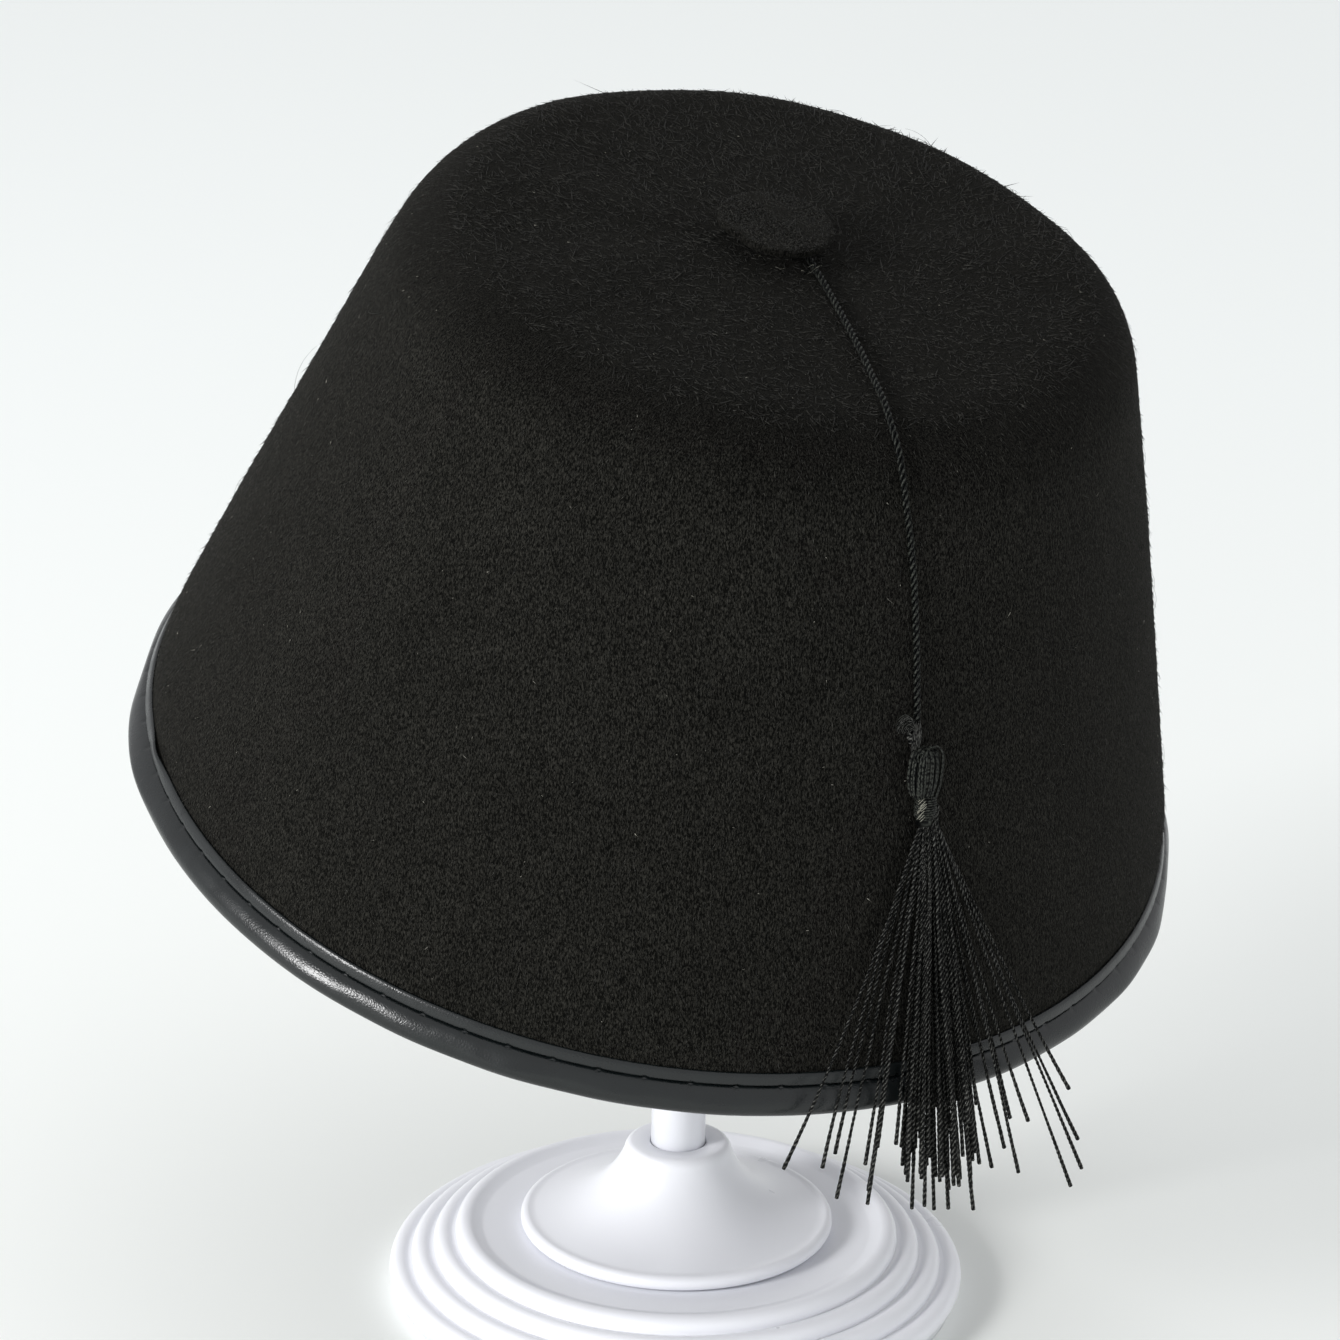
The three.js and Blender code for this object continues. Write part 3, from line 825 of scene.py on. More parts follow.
def lint_material(colours):
    """Undyed cotton lint caught in the nap: pale specks, matt, some greyer than others."""
    material, shader = new_material("cotton_lint_pale", Roughness=0.8, IOR=1.5)
    coordinates = add_node(material, "ShaderNodeTexCoord")
    spread = add_node(material, "ShaderNodeMapping", {"Scale": (1 / (3 * MM),) * 3},
                      Vector=coordinates.outputs["Object"])
    noise = add_node(material, "ShaderNodeTexNoise", {"Scale": 1.0},
                     Vector=spread.outputs["Vector"])
    blend = add_node(material, "ShaderNodeMix",
                     {"data_type": "RGBA", MIX_A: (*colours.lint_dark, 1),
                      MIX_B: (*colours.lint_light, 1)}, Factor=noise.outputs["Fac"])
    wire(material, blend.outputs[MIX_RESULT], shader.inputs["Base Color"])
    return material


def leather_material(hat, colours):
    """Bonded leather strip, dyed and calendered: an even satin black with a grain of pores about
    0.5 mm apart, and a gloss that varies in patches where it was handled."""
    material, shader = new_material("bonded_leather_calendered", IOR=1.5, Specular_IOR_Level=0.5)
    pore_distance, patch_width = 0.55 * MM, 5 * MM
    grain_scale = hat_coordinates(material, hat, (1 / pore_distance,) * 3)
    grain = add_node(material, "ShaderNodeTexVoronoi",
                     {"feature": "DISTANCE_TO_EDGE", "Scale": 1.0},
                     Vector=grain_scale.outputs["Vector"])
    patch_scale = hat_coordinates(material, hat, (1 / patch_width,) * 3)
    patches = add_node(material, "ShaderNodeTexNoise", {"Scale": 1.0, "Detail": 3.0},
                       Vector=patch_scale.outputs["Vector"])
    gloss = add_node(material, "ShaderNodeMapRange",
                     {"From Min": 0.3, "From Max": 0.7, "To Min": 0.22, "To Max": 0.34},
                     Value=patches.outputs["Fac"])
    tone = add_node(material, "ShaderNodeMix",
                    {"data_type": "RGBA", MIX_A: (*colours.leather, 1),
                     MIX_B: (*colours.leather_handled, 1)}, Factor=patches.outputs["Fac"])
    pores = add_node(material, "ShaderNodeBump", {"Strength": 0.5, "Distance": 0.09 * MM},
                     Height=grain.outputs["Distance"])
    creases = add_node(material, "ShaderNodeBump", {"Strength": 0.3, "Distance": 0.25 * MM},
                       Height=patches.outputs["Fac"], Normal=pores.outputs["Normal"])
    wire(material, tone.outputs[MIX_RESULT], shader.inputs["Base Color"])
    wire(material, gloss.outputs["Result"], shader.inputs["Roughness"])
    wire(material, creases.outputs["Normal"], shader.inputs["Normal"])
    return material


def thread_material(colours, name="rayon_thread_twisted", light=None, least=0.42):
    """Rayon thread, twisted and dyed black: bundles of smooth filaments lie along each ply. The
    light caught by those on its crest, away from the thread's own middle, is painted into the
    colour as short slanting pale dashes where each ply comes round, black between them: painted
    highlights drawn by the thread's own UV, and coarser than the filaments so that they show."""
    material, shader = new_material(name, IOR=1.53, Specular_IOR_Level=0.07)
    dashes_round, dashes_per_cm = 3, 18
    coordinates = add_node(material, "ShaderNodeTexCoord")
    stretch = add_node(material, "ShaderNodeMapping", {"Scale": (dashes_round, dashes_per_cm, 1)},
                       Vector=coordinates.outputs["UV"])
    filaments = add_node(material, "ShaderNodeTexNoise", {"Scale": 1.0, "Detail": 1.0},
                         Vector=stretch.outputs["Vector"])
    gloss = add_node(material, "ShaderNodeMapRange", {"To Min": 0.3, "To Max": 0.6},
                     Value=filaments.outputs["Fac"])
    dashes = add_node(material, "ShaderNodeMapRange", {"From Min": least, "From Max": least + 0.16},
                      Value=filaments.outputs["Fac"])
    around = add_node(material, "ShaderNodeSeparateXYZ", Vector=coordinates.outputs["UV"])
    from_crest = add_node(material, "ShaderNodeMath", {"operation": "PINGPONG", 1: 0.5})
    wire(material, around.outputs["X"], from_crest.inputs[0])
    crest = add_node(material, "ShaderNodeMapRange",
                     {"From Min": 0.03, "From Max": 0.17, "To Min": 1.0, "To Max": 0.0},
                     Value=from_crest.outputs["Value"])
    # Painted highlight: the dashes on the plies' crests take the highlight colour
    painted_highlight_mask = add_node(material, "ShaderNodeMath", {"operation": "MULTIPLY"})
    wire(material, dashes.outputs["Result"], painted_highlight_mask.inputs[0])
    wire(material, crest.outputs["Result"], painted_highlight_mask.inputs[1])
    tone = add_node(material, "ShaderNodeMix",
                    {"data_type": "RGBA", MIX_A: (*colours.thread, 1),
                     MIX_B: (*(light or colours.thread_painted_highlight), 1)}, Factor=painted_highlight_mask.outputs["Value"])
    bump = add_node(material, "ShaderNodeBump", {"Strength": 0.5, "Distance": 0.05 * MM},
                    Height=filaments.outputs["Fac"])
    wire(material, tone.outputs[MIX_RESULT], shader.inputs["Base Color"])
    wire(material, gloss.outputs["Result"], shader.inputs["Roughness"])
    wire(material, bump.outputs["Normal"], shader.inputs["Normal"])
    return material


def frayed_painted_glints_material(colours):
    """The same rayon for the cut thread ends, with more and paler painted highlights, so that the
    threads look pale."""
    return thread_material(colours, "rayon_thread_frayed_painted_glints", colours.frayed_painted_highlight, 0.34)


def folded_material(colours):
    """The same rayon laid side by side over the head, the knot and the cord, with dimmer painted
    highlights, so that only a faint painted line of light lies along each thread."""
    return thread_material(colours, "rayon_thread_folded", colours.folded_painted_highlight)


def sewing_material(colours):
    """Waxed polyester sewing thread, nearly black: its painted highlights are barely paler than the
    thread.
    """
    return thread_material(colours, "polyester_thread_waxed", colours.waxed_painted_highlight, 0.5)


def plastic_material(colours):
    """ABS, injection moulded in a polished tool: white with a faint cool cast, a soft gloss, and
    the slight unevenness of a moulded face some 12 mm across."""
    material, shader = new_material("abs_moulded_white", IOR=1.53,
                                    Base_Color=(*colours.plastic, 1))
    coordinates = add_node(material, "ShaderNodeTexCoord")
    scale = add_node(material, "ShaderNodeMapping", {"Scale": (1 / (12 * MM),) * 3},
                     Vector=coordinates.outputs["Object"])
    flow = add_node(material, "ShaderNodeTexNoise", {"Scale": 1.0, "Detail": 2.0},
                    Vector=scale.outputs["Vector"])
    gloss = add_node(material, "ShaderNodeMapRange", {"To Min": 0.24, "To Max": 0.36},
                     Value=flow.outputs["Fac"])
    bump = add_node(material, "ShaderNodeBump", {"Strength": 0.08, "Distance": 0.2 * MM},
                    Height=flow.outputs["Fac"])
    wire(material, gloss.outputs["Result"], shader.inputs["Roughness"])
    wire(material, bump.outputs["Normal"], shader.inputs["Normal"])
    return material


def floor_material(colours):
    """Matt painted board: pale and plain, a touch brighter away from the stand. The brightness
    grows with the distance from the middle, up to 0.7 m."""
    material, shader = new_material("painted_board_matt", Roughness=0.85, Specular_IOR_Level=0.2)
    coordinates = add_node(material, "ShaderNodeTexCoord")
    away = add_node(material, "ShaderNodeVectorMath", {"operation": "LENGTH"},
                    Vector=coordinates.outputs["Object"])
    far = add_node(material, "ShaderNodeMapRange", {"From Min": 0.05, "From Max": 0.7},
                   Value=away.outputs["Value"])
    tone = add_node(material, "ShaderNodeMix",
                    {"data_type": "RGBA", MIX_A: (*colours.floor, 1),
                     MIX_B: (*colours.floor_far, 1)}, Factor=far.outputs["Result"])
    wire(material, tone.outputs[MIX_RESULT], shader.inputs["Base Color"])
    return material


def wire(material, out_socket, in_socket):
    """Links an output socket to an input socket."""
    material.node_tree.links.new(out_socket, in_socket)


def shared(name, make, *facts):
    """The material of that name, made on its first use."""
    return bpy.data.materials.get(name) or make(*facts)


# Operators


class FEZ_OT_stage(bpy.types.Operator):
    """Sets up the camera, the floor, the lights and the surroundings"""

    bl_idname = "fez.stage"
    bl_label = "Stage"

    def execute(self, context):
        scene = context.scene
        view = scene.fez_camera
        studio = scene.fez_studio
        data = bpy.data.cameras.new("photo_camera")
        data.sensor_width = view.sensor / MM
        data.lens = view.lens / MM
        data.clip_start = 0.01
        data.clip_end = 100
        camera = bpy.data.objects.new("photo_camera", data)
        camera.rotation_euler = Euler((view.pitch, view.roll, 0))
        camera.location = view.place
        scene.collection.objects.link(camera)
        scene.camera = camera

        edge = studio.floor_reach
        mesh = bpy.data.meshes.new("floor")
        corners = [(-edge, -edge, 0), (edge, -edge, 0), (edge, edge, 0), (-edge, edge, 0)]
        mesh.from_pydata(corners, [], [(0, 1, 2, 3)])
        mesh.materials.append(floor_material(scene.fez_colours))
        floor = bpy.data.objects.new("floor", mesh)
        floor.location.z = -studio.floor_drop
        scene.collection.objects.link(floor)

        world = bpy.data.worlds.new("studio")
        scene.world = world
        world.use_nodes = True
        background = world.node_tree.nodes["Background"]
        background.inputs["Color"].default_value = (*scene.fez_colours.sky, 1)
        background.inputs["Strength"].default_value = studio.sky_strength
        lamp = bpy.data.lights.new("softbox_left", "AREA")
        lamp.shape = "RECTANGLE"
        lamp.size = studio.box_width
        lamp.size_y = studio.box_height
        lamp.energy = studio.box_power
        light = bpy.data.objects.new("softbox_left", lamp)
        light.location = studio.box_place
        facing = Vector(studio.box_aim) - light.location
        light.rotation_euler = facing.to_track_quat("-Z", "Y").to_euler()
        scene.collection.objects.link(light)
        scene.view_settings.view_transform = "Standard"
        return {"FINISHED"}


class FEZ_OT_cord(bpy.types.Operator):
    """Lays the twisted cord over the crown, with its knot and frayed end"""

    bl_idname = "fez.cord"
    bl_label = "Cord and knot"

    def execute(self, context):
        hat = context.scene.fez_hat
        trim = context.scene.fez_trim
        thread = shared("rayon_thread_folded", folded_material, context.scene.fez_colours)
        turn = np.radians([row[0] for row in CORD_ROUTE])
        along = np.array([row[1] for row in CORD_ROUTE]) * MM
        lift = trim.cord_diameter / 2 + trim.cord_gap + side_belly(hat, along)
        route = to_row(hat, on_felt(hat, turn, along, lift))
        path = evenly(smooth_through(route, 24), 0.3 * MM)
        out = to_row(hat, on_felt(hat, turn, along, lift + MM)) - route
        reference = smooth_through(unit(out), 24)
        reference = columns_at(np.linspace(0, 1, len(path)), np.linspace(0, 1, len(reference)),
                               reference)
        ply_radius = trim.cord_diameter / 2 / (1 + 2 / math.sqrt(3))
        wind = trim.cord_diameter / 2 - ply_radius
        wound, away = plies(path[None], reference[None], 3, wind, trim.cord_pitch)
        strands = skin(tube(wound, ply_radius, away, 8))
        cord = add_piece("tassel_cord_twisted", strands, thread, ["tassel_cord"])

        place = felt_frame(hat, trim.knot_turn, trim.knot_along, trim.knot_lift)
        loose = shared("rayon_thread_twisted", thread_material, context.scene.fez_colours)
        knot = add_piece("tassel_knot_tied", in_place(knot_surface(trim), place), loose,
                         ["tassel_knot"])
        return {"FINISHED"}


def knot_surface(trim):
    """A trefoil of two-ply thread, x = (2 + cos 3t) cos 2t, y = sin 3t, z = (2 + cos 3t) sin 2t;
    threads that run from the cord down into the head, bowed out by a sine; and a shell of frayed
    threads that rises to the left and bends over, each along an ellipse
    x = -r (1 - cos a), z = 2 r sin a."""
    t = np.linspace(0, FULL_TURN, 140, endpoint=False)
    around = 2 + np.cos(3 * t)
    middle = np.stack([around * np.cos(2 * t), 1.9 * np.sin(3 * t), around * np.sin(2 * t)],
                      axis=-1)
    middle = middle / 3 * (trim.knot_size - 0.3 * MM)
    closed = np.concatenate([middle, middle[:1]])[None]
    wound, away = plies(closed, [0.0, 1.0, 0.35], 2, 0.24 * MM, 1.5 * MM)
    knotted = skin(tube(wound, 0.27 * MM, away, THREAD_SIDES))

    random = np.random.default_rng(11)
    count = 9
    down = np.linspace(0, 1, 12)
    aside = np.linspace(-1, 1, count)[:, None]
    x = (0.15 + 0.4 * aside * (1 + 0.9 * np.sin(np.pi * down))) * MM
    y = -(0.5 + 0.75 * np.sin(np.pi * down) * np.sqrt(1 - 0.8 * aside**2)) * MM
    z = (2.7 - 5.6 * down + random.uniform(-0.3, 0.3, (count, 1))) * MM
    running = np.stack([x, y, np.broadcast_to(z, x.shape)], axis=-1)
    bound = skin(tube(running, 0.14 * MM, [0.1, -1.0, 0.0], FINE_SIDES))

    count = 34
    up = np.linspace(0, 1, 16)
    size = np.linspace(0.62, 1.95, count)[:, None] * MM * random.uniform(0.92, 1.08, (count, 1))
    angle = up * np.radians(random.uniform(120, 172, (count, 1)))
    x = -0.2 * MM - size * (1 - np.cos(angle)) + random.normal(0, 0.12, (count, 1)) * up * MM
    z = 0.4 * MM + 2.0 * size * np.sin(angle)
    y = -(0.35 + random.uniform(0, 0.9, (count, 1)) * np.sin(np.pi * up * 0.8)) * MM
    frayed = np.stack([x, y, z], axis=-1)
    tuft = skin(tube(frayed, 0.11 * MM * (1 - 0.35 * up), [0.2, -1.0, 0.1], FINE_SIDES))
    return together(knotted, bound, tuft)


class FEZ_OT_tassel(bpy.types.Operator):
    """Makes the tassel's head of folded threads, its winding and its skirt of strands"""

    bl_idname = "fez.tassel"
    bl_label = "Tassel"

    def execute(self, context):
        hat = context.scene.fez_hat
        tassel = context.scene.fez_tassel
        thread = shared("rayon_thread_twisted", thread_material, context.scene.fez_colours)
        folded = shared("rayon_thread_folded", folded_material, context.scene.fez_colours)
        # Pale painted highlights for the thread ends under the winding
        frayed = shared("rayon_thread_frayed_painted_glints", frayed_painted_glints_material, context.scene.fez_colours)
        neck_top = tassel.head_top + tassel.head_height
        head_middle = neck_top - tassel.head_height / 2
        neck_middle = neck_top + tassel.neck_length / 2
        head = felt_frame(hat, tassel.head_turn, head_middle, tassel.lift)
        neck = felt_frame(hat, tassel.neck_turn, neck_middle, tassel.lift)
        origin, axes = felt_frame(hat, tassel.skirt_turn, neck_top + tassel.neck_length,
                                  tassel.lift)
        cos, sin = math.cos(tassel.skirt_facing), math.sin(tassel.skirt_facing)
        skirt = origin, np.array([[cos, -sin, 0], [sin, cos, 0], [0, 0, 1]]) @ axes
        near, far = skirt_surfaces(tassel)
        for name, surface, place, material, nodes in (
            ("tassel_head_threads", head_surface(tassel), head, folded, ["tassel"]),
            ("tassel_wrap_wound", wrap_surface(tassel), neck, folded, ["tassel_wrap"]),
            ("tassel_wrap_ends", wrap_ends(tassel), neck, frayed, []),
            ("tassel_skirt_near", near, skirt, thread, ["tassel"]),
            ("tassel_skirt_far", far, skirt, thread, ["tassel"]),
        ):
            add_piece(name, in_place(surface, place), material, nodes)
        return {"FINISHED"}


def head_surface(tassel):
    """Threads folded over the top of a barrel: each runs from the middle of the top, outwards by
    the sine of its bend, down the widest part and in to the neck, about a closed core."""
    random = np.random.default_rng(21)
    count = tassel.head_threads
    half = tassel.head_height / 2
    thread = 0.29 * MM
    share_down = np.linspace(0, 1, 26)
    section = smooth_through([(0.05, 0.93), (0.5, 0.98), (0.82, 0.84), (0.95, 0.5), (0.99, 0.0),
                              (0.93, -0.45), (0.78, -0.8), (0.5, -1.0)], 8)
    at = np.linspace(0, 1, len(section))
    wide = np.interp(share_down, at, section[:, 0])
    high = np.interp(share_down, at, section[:, 1])
    angle = (np.arange(count) + random.uniform(-0.25, 0.25, count)) * FULL_TURN / count
    sway = random.uniform(-0.09, 0.09, (count, 1)) * np.sin(np.pi * share_down)
    angle = angle[:, None] + sway
    reach = wide * (1 + random.uniform(-0.05, 0.06, (count, 1)) * np.sin(np.pi * share_down))
    x = (tassel.head_width / 2 - thread) * reach * np.sin(angle)
    y = -(tassel.head_depth / 2 - thread) * reach * np.cos(angle)
    z = np.broadcast_to(high * half, x.shape) + random.uniform(-0.15, 0.15, (count, 1)) * MM
    path = np.stack([x, y, z], axis=-1)
    outward = np.stack([x, y, z * 0.2 + 0.1 * MM], axis=-1)
    threads = skin(tube(path, thread, outward, THREAD_SIDES))
    core_rows = np.stack([wide * 0.86, high * half], axis=-1)[::-1]
    core = lathe(core_rows, 32) * np.array([tassel.head_width / 2, tassel.head_depth / 2, 1])
    loops = tube(loop_paths(), 0.19 * MM, [0.0, -1.0, 0.05], THREAD_SIDES)
    return together(threads, skin(core), skin(loops))


def loop_paths():
    """Threads that stand away from the head, each a smooth curve through a few points: arcs that
    leave its top, pass over its right shoulder and run down beside the neck, and small rings at
    its top left, round an ellipse."""
    x = np.array([0.3, 1.7, 2.75, 3.0, 2.9, 2.55, 2.0, 1.75, 1.7])
    z = np.array([4.6, 4.7, 3.6, 1.6, -1.2, -3.2, -4.6, -6.2, -8.0])
    inner = np.stack([x, np.full(len(x), -0.9), z], axis=-1)
    outer = inner * np.array([0.9, 1.35, 1.0]) + np.array([-0.1, 0, 0.3])
    arcs = np.stack([smooth_through(curve * MM, 5) for curve in (inner, outer)])
    angle = np.linspace(-0.5, 1.35, arcs.shape[1]) * np.pi
    ring = np.stack([-2.1 * MM + 0.7 * MM * np.cos(angle), np.full(len(angle), -1.1 * MM),
                     3.5 * MM + 0.85 * MM * np.sin(angle)], axis=-1)
    return np.concatenate([arcs, ring[None], ring[None] * np.array([0.8, 1.25, 0.97])])


def wrap_surface(tassel):
    """Thread wound round the neck: a helix whose radius swells by a sine towards its middle."""
    thread = 0.24 * MM
    half = tassel.neck_length / 2 - 0.45 * MM
    rows = 30 * tassel.wrap_turns
    gone = np.linspace(0, 1, rows)
    angle = FULL_TURN * tassel.wrap_turns * gone
    radius = tassel.wrap_radius - thread - 0.12 * MM + 0.12 * MM * np.sin(np.pi * gone)
    height = half * (1 - 2 * gone) + 0.1 * MM * np.sin(3 * angle + 1)
    path = about_axis(radius, angle, height)[None]
    winding = skin(tube(path, thread, path * np.array([1, 1, 0]), THREAD_SIDES))
    bundle = lathe(np.array([[1.5, -half - 1.4 * MM], [1.5, half + 1.4 * MM]]) *
                   np.array([tassel.neck_radius / 1.3, 1]), 20)
    points, quads, caps, uv = together(winding, skin(bundle))
    return points + WRAP_SHIFT, quads, caps, uv


def wrap_ends(tassel):
    """Short slanting thread ends caught under the winding on the left, each a piece of a helix."""
    random = np.random.default_rng(31)
    count = 16
    up = np.linspace(-1, 1, 8)
    foot = np.linspace(-0.9, 0.85, count)[:, None] * (tassel.neck_length / 2 - 0.45 * MM)
    turn = np.radians(-50) + up * 0.2 + random.uniform(-0.22, 0.22, (count, 1))
    out = tassel.wrap_radius - 0.04 * MM
    rise = foot + up * 0.48 * MM + random.uniform(-0.15, 0.15, (count, 1)) * MM
    slanting = about_axis(out, turn, rise)
    ends = tube(slanting, 0.085 * MM, slanting * np.array([1, 1, 0]), FINE_SIDES)
    return skin(ends + WRAP_SHIFT)


def skirt_surfaces(tassel):
    """The strands of the skirt as two surfaces. A strand goes from its place in the neck to its
    end by x = x0 + (x1 - x0)(f + bow f (f - 1)), z = -drop f, and stands off the felt by its layer
    times the root of f, with two slow sines added. It is two plies about that line, and thicker
    where its cut end was sealed."""
    random = np.random.default_rng(41)
    shown = np.array(SHOWN_STRANDS)
    count = tassel.strand_count
    bunch = np.array(BUNCHES)[np.arange(count) % len(BUNCHES)]
    hidden = bunch + random.normal(0, tassel.bunch_spread / MM, count)
    aside = np.concatenate([shown[:, 0], hidden]) * MM
    hidden = random.uniform(tassel.shortest, tassel.longest, count)
    drop = np.concatenate([shown[:, 1] * MM, hidden])
    bow = np.concatenate([shown[:, 2], random.normal(0, 0.18, count)])
    total = len(aside)

    order = np.argsort(aside)
    rank = np.empty(total)
    rank[order] = np.linspace(-1, 1, total)
    neck_half, neck_middle, nearest_felt, outermost = 1.25, -0.9, -0.2, 3.4
    start_x = (neck_half * rank + neck_middle + random.uniform(-0.25, 0.25, total)) * MM
    start_y = random.uniform(-0.9, 0.9, total) * MM
    layer = random.permutation(np.linspace(nearest_felt, outermost, total)) * MM
    inside_neck = 0.045
    f = np.linspace(-inside_neck, 1, 150)
    root = np.sqrt(np.maximum(f, 0))
    gone = np.maximum(f, 0)
    x = start_x[:, None] + (aside - start_x)[:, None] * (gone + bow[:, None] * gone * (gone - 1))
    y = start_y[:, None] * (1 - root) - layer[:, None] * root
    z = -drop[:, None] * f
    for amount, low, high in ((0.55, 0.6, 1.4), (0.16, 2.0, 4.5)):
        size = random.normal(0, amount, (total, 1)) * MM * root * (1 - gone)
        waves = random.uniform(low, high, (total, 1))
        start = random.uniform(0, FULL_TURN, (total, 1))
        x += size * np.sin(FULL_TURN * waves * f + start)
        y += 0.35 * size * np.cos(FULL_TURN * waves * f + 2 * start)
    path = np.stack([x, y, z], axis=-1)
    closest_to_felt = 0.75 * MM
    path[..., 1] = np.minimum(path[..., 1], closest_to_felt)

    start = random.uniform(0, FULL_TURN, total)
    from_end = path[..., 2] + drop[:, None]
    sealed_length = 15 * MM
    sealed = np.clip(1 - from_end / sealed_length, 0, 1)
    thick = 1 + 0.7 * sealed
    ply = tassel.strand_diameter * 0.34
    wind = (tassel.strand_diameter / 2 - ply) * (1 - 0.35 * sealed)
    wound, away = plies(path, [0.0, 1.0, 0.0], 2, wind, tassel.strand_pitch, start)
    grids = tube(wound, np.repeat(ply * thick, 2, axis=0), away, FINE_SIDES)
    near = np.repeat(layer > np.median(layer), 2)
    return skin(grids[near]), skin(grids[~near])


class FEZ_OT_crown(bpy.types.Operator):
    """Blocks the felt of the crown and side as one wall"""

    bl_idname = "fez.crown"
    bl_label = "Crown"

    def execute(self, context):
        hat = context.scene.fez_hat
        felt = shared("wool_felt_brushed", felt_material, hat, context.scene.fez_colours)
        lowest = felt_length(hat) - hat.felt_edge / math.cos(side_angle(hat))
        inside = np.linspace(2 * MM, lowest, 52)
        outside = np.linspace(lowest, 2 * MM, 108)
        along = np.concatenate([inside, outside])
        lift = np.concatenate([np.full(len(inside), -hat.wall), np.zeros(len(outside))])
        turn = np.arange(FELT_SIDES) * FULL_TURN / FELT_SIDES
        lift = lift[:, None] + felt_rise(hat, turn, along[:, None])
        points = to_row(hat, on_felt(hat, turn, along[:, None], lift))
        add_piece("crown_felt_blocked", skin(points[None]), felt, ["crown_felt"])
        return {"FINISHED"}


class FEZ_OT_nap(bpy.types.Operator):
    """Grows the felt's fibres and its stray hairs"""

    bl_idname = "fez.nap"
    bl_label = "Nap"

    def execute(self, context):
        hat = context.scene.fez_hat
        nap = context.scene.fez_nap
        colours = context.scene.fez_colours
        fibre = shared("wool_fibre_dyed", nap_material, hat, colours)
        edge = flat_radius(hat) + 6 * MM
        lowest = felt_length(hat) - NAP_END
        side = nap_surface(hat, nap, nap.side_count, (edge, lowest), 51, 0.22, 1.0)
        add_piece("felt_nap_side", side, fibre)
        crown = nap_surface(hat, nap, nap.crown_count, (0.0, edge), 52, 1.0, 1.5)
        add_piece("felt_nap_crown", crown, fibre)
        hairs = together(hair_surface(hat, nap), fluff_surface(hat))
        add_piece("felt_stray_hairs", hairs, fibre)
        lint = shared("cotton_lint_pale", lint_material, colours)
        add_piece("felt_lint", lint_surface(hat, nap), lint)
        return {"FINISHED"}


def spread_over_felt(hat, random, count, low, high):
    """Turns and distances spread evenly over the felt between two distances from the crown's
    middle: the share of the area gone by grows with the radius."""
    along = np.linspace(low, high, 300)
    radius = np.linalg.norm(on_felt(hat, 0.0, along, 0.0)[:, :2], axis=1)
    area = np.concatenate([[0], np.cumsum((radius[1:] + radius[:-1]) / 2)])
    at = np.interp(random.uniform(0, area[-1], count), area, along)
    return random.uniform(0, FULL_TURN, count), at


def nap_surface(hat, nap, count, reach, seed, scatter, coarse):
    """Fibres as slim three-sided spikes, coarse times the usual size. Each lies along the felt,
    turned from the way down by the brushing and a normal scatter, and its tip stands off by a
    small angle."""
    random = np.random.default_rng(seed)
    turn, along = spread_over_felt(hat, random, count, *reach)
    here, across, down, out = felt_axes(hat, turn, along, felt_rise(hat, turn, along))
    brushing = 0.3 * np.sin(3 * turn + along / (23 * MM)) * np.sin(along / (31 * MM) + 2 * turn)
    heading = (brushing - 0.12 + random.normal(0, scatter, count))[:, None]
    raised_share = 0.09
    raised = random.uniform(0, 1, count) < raised_share
    rise = 0.05 + np.abs(random.normal(0, 0.16, count)) + raised * random.uniform(0.3, 1.0, count)
    size = coarse * nap.fibre_length * random.gamma(6, 1 / 6, count) * (1 - 0.45 * raised)
    wide = coarse * nap.fibre_width * random.uniform(0.5, 1.25, count) * (1 - 0.5 * raised) / 2
    way = np.cos(heading) * down + np.sin(heading) * across
    rooted = 0.06 * MM
    return spikes(here - rooted * out, way, out, size, rise, wide)


def spikes(foot, way, out, size, rise, wide):
    """Closed spikes of three sides. Each tip stands at foot + size (cos rise way + sin rise out),
    and the foot is a triangle across the way."""
    size, rise, wide = size[:, None], rise[:, None], wide[:, None]
    tip = foot + size * (np.cos(rise) * way + np.sin(rise) * out)
    beside = np.cross(way, out)
    corners = np.stack([foot + wide * beside, foot - wide * beside, foot + 1.3 * wide * out, tip],
                       axis=1)
    faces = np.array([[0, 1, 3], [1, 2, 3], [2, 0, 3], [0, 2, 1]])
    caps = (np.arange(len(foot))[:, None, None] * 4 + faces).reshape(-1, 3)
    return corners.reshape(-1, 3), np.empty((0, 4), int), caps, np.empty((0, 2))


def lint_surface(hat, nap):
    """Short pale spikes that lie about on the felt at any heading."""
    random = np.random.default_rng(57)
    count = nap.lint_count
    turn, along = spread_over_felt(hat, random, count, 4 * MM, felt_length(hat) - HAIR_END)
    here, across, down, out = felt_axes(hat, turn, along, felt_rise(hat, turn, along))
    heading = random.uniform(0, FULL_TURN, count)[:, None]
    way = np.cos(heading) * down + np.sin(heading) * across
    size = random.gamma(2.5, 0.16, count) * MM
    return spikes(here + 0.12 * MM * out, way, out, size, random.uniform(0, 0.5, count),
                  random.uniform(0.035, 0.085, count) * MM)


